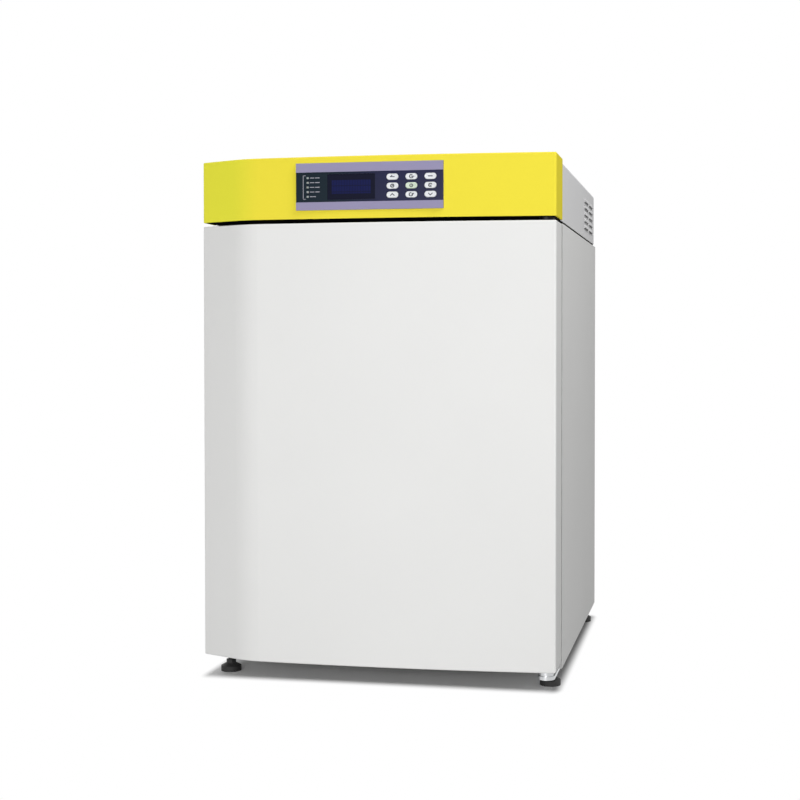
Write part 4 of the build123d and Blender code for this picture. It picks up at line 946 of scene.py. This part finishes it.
@dataclass
class DoorSeal:
    """Magnetic door seal: a bellows profile swept round the door's back."""

    half_width: float = 0.261
    low: float = 0.064
    high: float = 0.766
    back: float = -0.2845
    reach: float = 0.0137
    width: float = 0.014
    corner: float = 0.014
    steps: int = 8
    profile: tuple[Flat, ...] = (
        (0.0, 0.0), (0.0, 0.16), (0.10, 0.24), (0.20, 0.30), (0.12, 0.42), (0.06, 0.52),
        (0.18, 0.62), (0.08, 0.72), (0.05, 0.90), (0.14, 1.0), (0.80, 1.0), (0.93, 0.92),
        (0.93, 0.72), (0.80, 0.62),
        (0.92, 0.50), (0.84, 0.38), (0.80, 0.28), (1.0, 0.18), (1.0, 0.0))

    def build(self) -> None:
        """Sweep the profile along the sides and round the corners, then close the loop."""
        work = Workpiece()
        mesh = work.mesh
        start_z = self.low + self.corner
        verts = [mesh.verts.new((self.half_width + out * self.width,
                                 self.back + up * self.reach, start_z))
                 for out, up in self.profile]
        ring = [mesh.edges.new(pair) for pair in zip(verts, verts[1:] + verts[:1])]
        run_z = self.high - self.low - 2 * self.corner
        run_x = 2 * (self.half_width - self.corner)
        turns = [(1, 1), (-1, 1), (-1, -1), (1, -1)]
        steps = [(0.0, 0.0, run_z), (-run_x, 0.0, 0.0), (0.0, 0.0, -run_z), (run_x, 0.0, 0.0)]
        middle_z = (self.low + self.high) / 2
        for (side, level), step in zip(turns, steps):
            ring = self._extend(mesh, ring, step)
            centre = Vector((side * (self.half_width - self.corner), 0.0,
                             middle_z + level * run_z / 2))
            made = bmesh.ops.spin(mesh, geom=ring, cent=centre, axis=(0.0, -1.0, 0.0),
                                  angle=math.pi / 2, steps=self.steps, use_duplicate=False)
            ring = [item for item in made["geom_last"] if isinstance(item, bmesh.types.BMEdge)]
        piece = work.finish("magnetic_door_seal", GREY_SEAL, "outer_door", angle=0.9)
        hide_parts("door_gasket")

    @staticmethod
    def _extend(mesh: bmesh.types.BMesh, ring: list[bmesh.types.BMEdge],
                step: Point) -> list[bmesh.types.BMEdge]:
        """Extrude a loop of edges by a step and hand back the new loop."""
        made = bmesh.ops.extrude_edge_only(mesh, edges=ring)["geom"]
        verts = [item for item in made if isinstance(item, bmesh.types.BMVert)]
        bmesh.ops.translate(mesh, vec=Vector(step), verts=verts)
        kept = set(verts)
        return [edge for edge in mesh.edges if edge.verts[0] in kept and edge.verts[1] in kept]


@dataclass
class DustScreens:
    """Pale screens inside the cover, behind the louvres of each side."""

    inside: float = 0.3049
    thickness: float = 0.0003
    front: float = 0.170
    rear: float = 0.322
    low: float = 0.806
    high: float = 0.886

    def build(self) -> None:
        """Make both screens with softened edges."""
        work = Workpiece()
        for side in (-1, 1):
            near, far = sorted((side * self.inside, side * (self.inside - self.thickness)))
            work.box((near, self.front, self.low), (far, self.rear, self.high))
        work.bevel(0.0001, 1)
        work.finish("louvre_dust_screens", SCREEN, "cabinet")


@dataclass
class InletPins:
    """Bright sleeves over the three flat pins of the power inlet."""

    x: float = -0.211
    z: float = 0.846
    back: float = 0.3366
    front: float = 0.3486
    spread: float = 0.007
    rise: float = 0.002
    half: Flat = (0.00105, 0.00205)

    def build(self) -> None:
        """Make the three sleeves with rounded tips."""
        work = Workpiece()
        for column in (-1, 0, 1):
            x = self.x + column * self.spread
            z = self.z + (self.rise if column == 0 else -self.rise)
            wide, high = self.half
            work.box((x - wide, self.back, z - high), (x + wide, self.front, z + high))
        work.bevel(0.0004)
        work.finish("inlet_pin_sleeves", BRIGHT_STEEL, "cabinet")


# ---------------------------------------------------------------------------
# Studio
# ---------------------------------------------------------------------------


@dataclass
class Studio:
    """Floor, light and camera."""

    position: Point = (0.5784, -2.6612, 0.5926)
    yaw: float = 10.737
    pitch: float = -1.203
    focal_px: float = 1413.0
    centre_px: Flat = (455.3, 369.7)
    picture_px: float = 800.0
    ambient: float = 0.30
    lamps: list[tuple[str, Point, Point, float, float]] = field(default_factory=lambda: [
        ("front_softbox", (-0.15, -3.4, 0.6), (0.0, -0.3, 0.5), 0.9, 53.0),
        ("side_softbox", (1.6, -1.0, 2.8), (0.2, -0.1, 0.5), 1.0, 49.0),
        ("rear_softbox", (-1.6, 3.0, 2.0), (0.0, 0.2, 0.5), 1.6, 45.0),
    ])
    shadow_box: tuple[float, float, float, float] = (-0.31, 0.298, -0.285, 0.345)
    shadow_fade: Flat = (0.020, 0.042)
    # Painted shadow: span of X over which the floor turns dark along the cabinet's right side.
    painted_shadow_band: Flat = (0.283, 0.297)
    floor_size: float = 30.0
    floor_pale: RGB = (0.93, 0.93, 0.93)
    # Painted shadow: colour of that dark band.
    floor_painted_shadow: RGB = (0.30, 0.30, 0.30)
    floor_bounce: RGB = (0.4, 0.4, 0.4)

    def _floor(self) -> None:
        """Pale floor with a painted contact shadow, a dark band along the right side, that goes
        over into plain white further out.
        """
        work = bmesh.new()
        bmesh.ops.create_grid(work, x_segments=1, y_segments=1, size=self.floor_size)
        data = bpy.data.meshes.new("floor")
        work.to_mesh(data)
        work.free()
        floor = bpy.data.objects.new("floor", data)
        bpy.context.scene.collection.objects.link(floor)
        shader = Shader("pale_floor")
        seen = shader.seen()
        # Painted shadow: a dark floor colour along the cabinet's right side stands in for its
        # contact shadow.
        painted_shadow_share = shader.part(shader.place(), Along.X).ramp(*self.painted_shadow_band)
        pale = shader.blend(painted_shadow_share, self.floor_pale, self.floor_painted_shadow)
        shader.set(Base_Color=shader.blend(seen, self.floor_bounce, pale), Roughness=0.9,
                   Specular_IOR_Level=0.0)
        left, right, front, rear = self.shadow_box
        here = shader.place(offset=((left + right) / 2, (front + rear) / 2, 0.0))
        outside = []
        halves = ((right - left) / 2, (rear - front) / 2)
        for axis, half, fade in zip((Along.X, Along.Y), halves, self.shadow_fade):
            past = (abs(shader.part(here, axis)) - half) / fade
            limits = {0: past, 1: 0.0}
            outside.append(shader.node("ShaderNodeMath", {"operation": "MAXIMUM"}, limits))
        distance = shader.node("ShaderNodeMath", {"operation": "SQRT"},
                               {0: outside[0] * outside[0] + outside[1] * outside[1]})
        white = shader.node("ShaderNodeEmission", None, {"Color": WHITE, "Strength": 1.0})
        lit = Wire(shader, shader.surface.outputs[0])
        mixed = shader.node("ShaderNodeMixShader", None,
                            {0: seen * distance.ramp(0.0, 1.0), 1: lit, 2: white})
        shader.connect(shader.output.inputs["Surface"], mixed)
        data.materials.append(shader.material)

    def _world(self) -> None:
        """White backdrop for the camera and soft even light for the object."""
        world = bpy.data.worlds.new("studio")
        bpy.context.scene.world = world
        world.use_nodes = True
        graph = Graph(world.node_tree)
        back = graph.tree.nodes["Background"]
        graph.connect(back.inputs["Color"], WHITE)
        levels = {"Value": graph.seen(), "To Min": self.ambient, "To Max": 1.0}
        graph.connect(back.inputs["Strength"], graph.node("ShaderNodeMapRange", None, levels))

    def _lamps(self) -> None:
        """Soft boxes aimed at the object."""
        for name, place, target, size, power in self.lamps:
            light = bpy.data.lights.new(name, "AREA")
            light.shape = "SQUARE"
            light.size = size
            light.energy = power
            lamp = bpy.data.objects.new(name, light)
            lamp.location = place
            aim = Vector(target) - Vector(place)
            lamp.rotation_euler = aim.to_track_quat("-Z", "Y").to_euler()
            bpy.context.scene.collection.objects.link(lamp)

    def _camera(self) -> None:
        """Camera at the photograph's place, with its off-centre framing as lens shift."""
        data = bpy.data.cameras.new("camera")
        data.sensor_width = 36.0
        data.lens = self.focal_px / self.picture_px * data.sensor_width
        data.shift_x = 0.5 - self.centre_px[0] / self.picture_px
        data.shift_y = self.centre_px[1] / self.picture_px - 0.5
        data.clip_end = 200.0
        camera = bpy.data.objects.new("camera", data)
        camera.location = self.position
        camera.rotation_euler = (math.radians(90.0 + self.pitch), 0.0, math.radians(self.yaw))
        bpy.context.scene.collection.objects.link(camera)
        bpy.context.scene.camera = camera

    def build(self) -> None:
        """Set the whole studio."""
        bpy.context.scene.view_settings.view_transform = "Standard"
        self._camera()
        self._world()
        self._lamps()
        self._floor()


def dress_nodes(nodes: dict[str, bpy.types.Object]) -> None:
    """Give every CAD node its finish.

    Args:
        nodes: The frame's objects by name.
    """
    for name, piece in nodes.items():
        material = NODE_FINISHES[name].material()
        for slot in piece.material_slots:
            slot.material = material
        LOG.info("%s: %s", name, material.name)


def screw_sets() -> list[ScrewSet]:
    """The screws of the rear, the connector panel and the hinge plate."""
    rear = 0.3515
    rear_places = [(side * 0.304, rear, z)
                   for side in (-1, 1) for z in (0.06, 0.235, 0.41, 0.585, 0.76)]
    upper = [(x, rear, z) for x in (-0.29, -0.12, 0.12, 0.29) for z in (0.805, 0.885)]
    plate = [(0.281, -0.262, 0.026), (0.299, -0.262, 0.026)]
    return [
        ScrewSet("rear_panel_screws", rear_places, Along.Y, 1),
        ScrewSet("connector_panel_screws", upper, Along.Y, 1, radius=0.003),
        ScrewSet("hinge_plate_screws", plate, Along.Z, -1, radius=0.003, recess=Recess.HEX),
    ]


def main() -> None:
    """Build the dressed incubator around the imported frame."""
    logging.basicConfig(level=logging.INFO, format="%(name)s %(message)s")
    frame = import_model()
    Studio().build()
    dress_nodes(frame["nodes"])
    ControlPanel().build()
    DoorSeal().build()
    InletPins().build()
    DustScreens().build()
    for screws in screw_sets():
        screws.build()


if __name__ == "__main__":
    main()
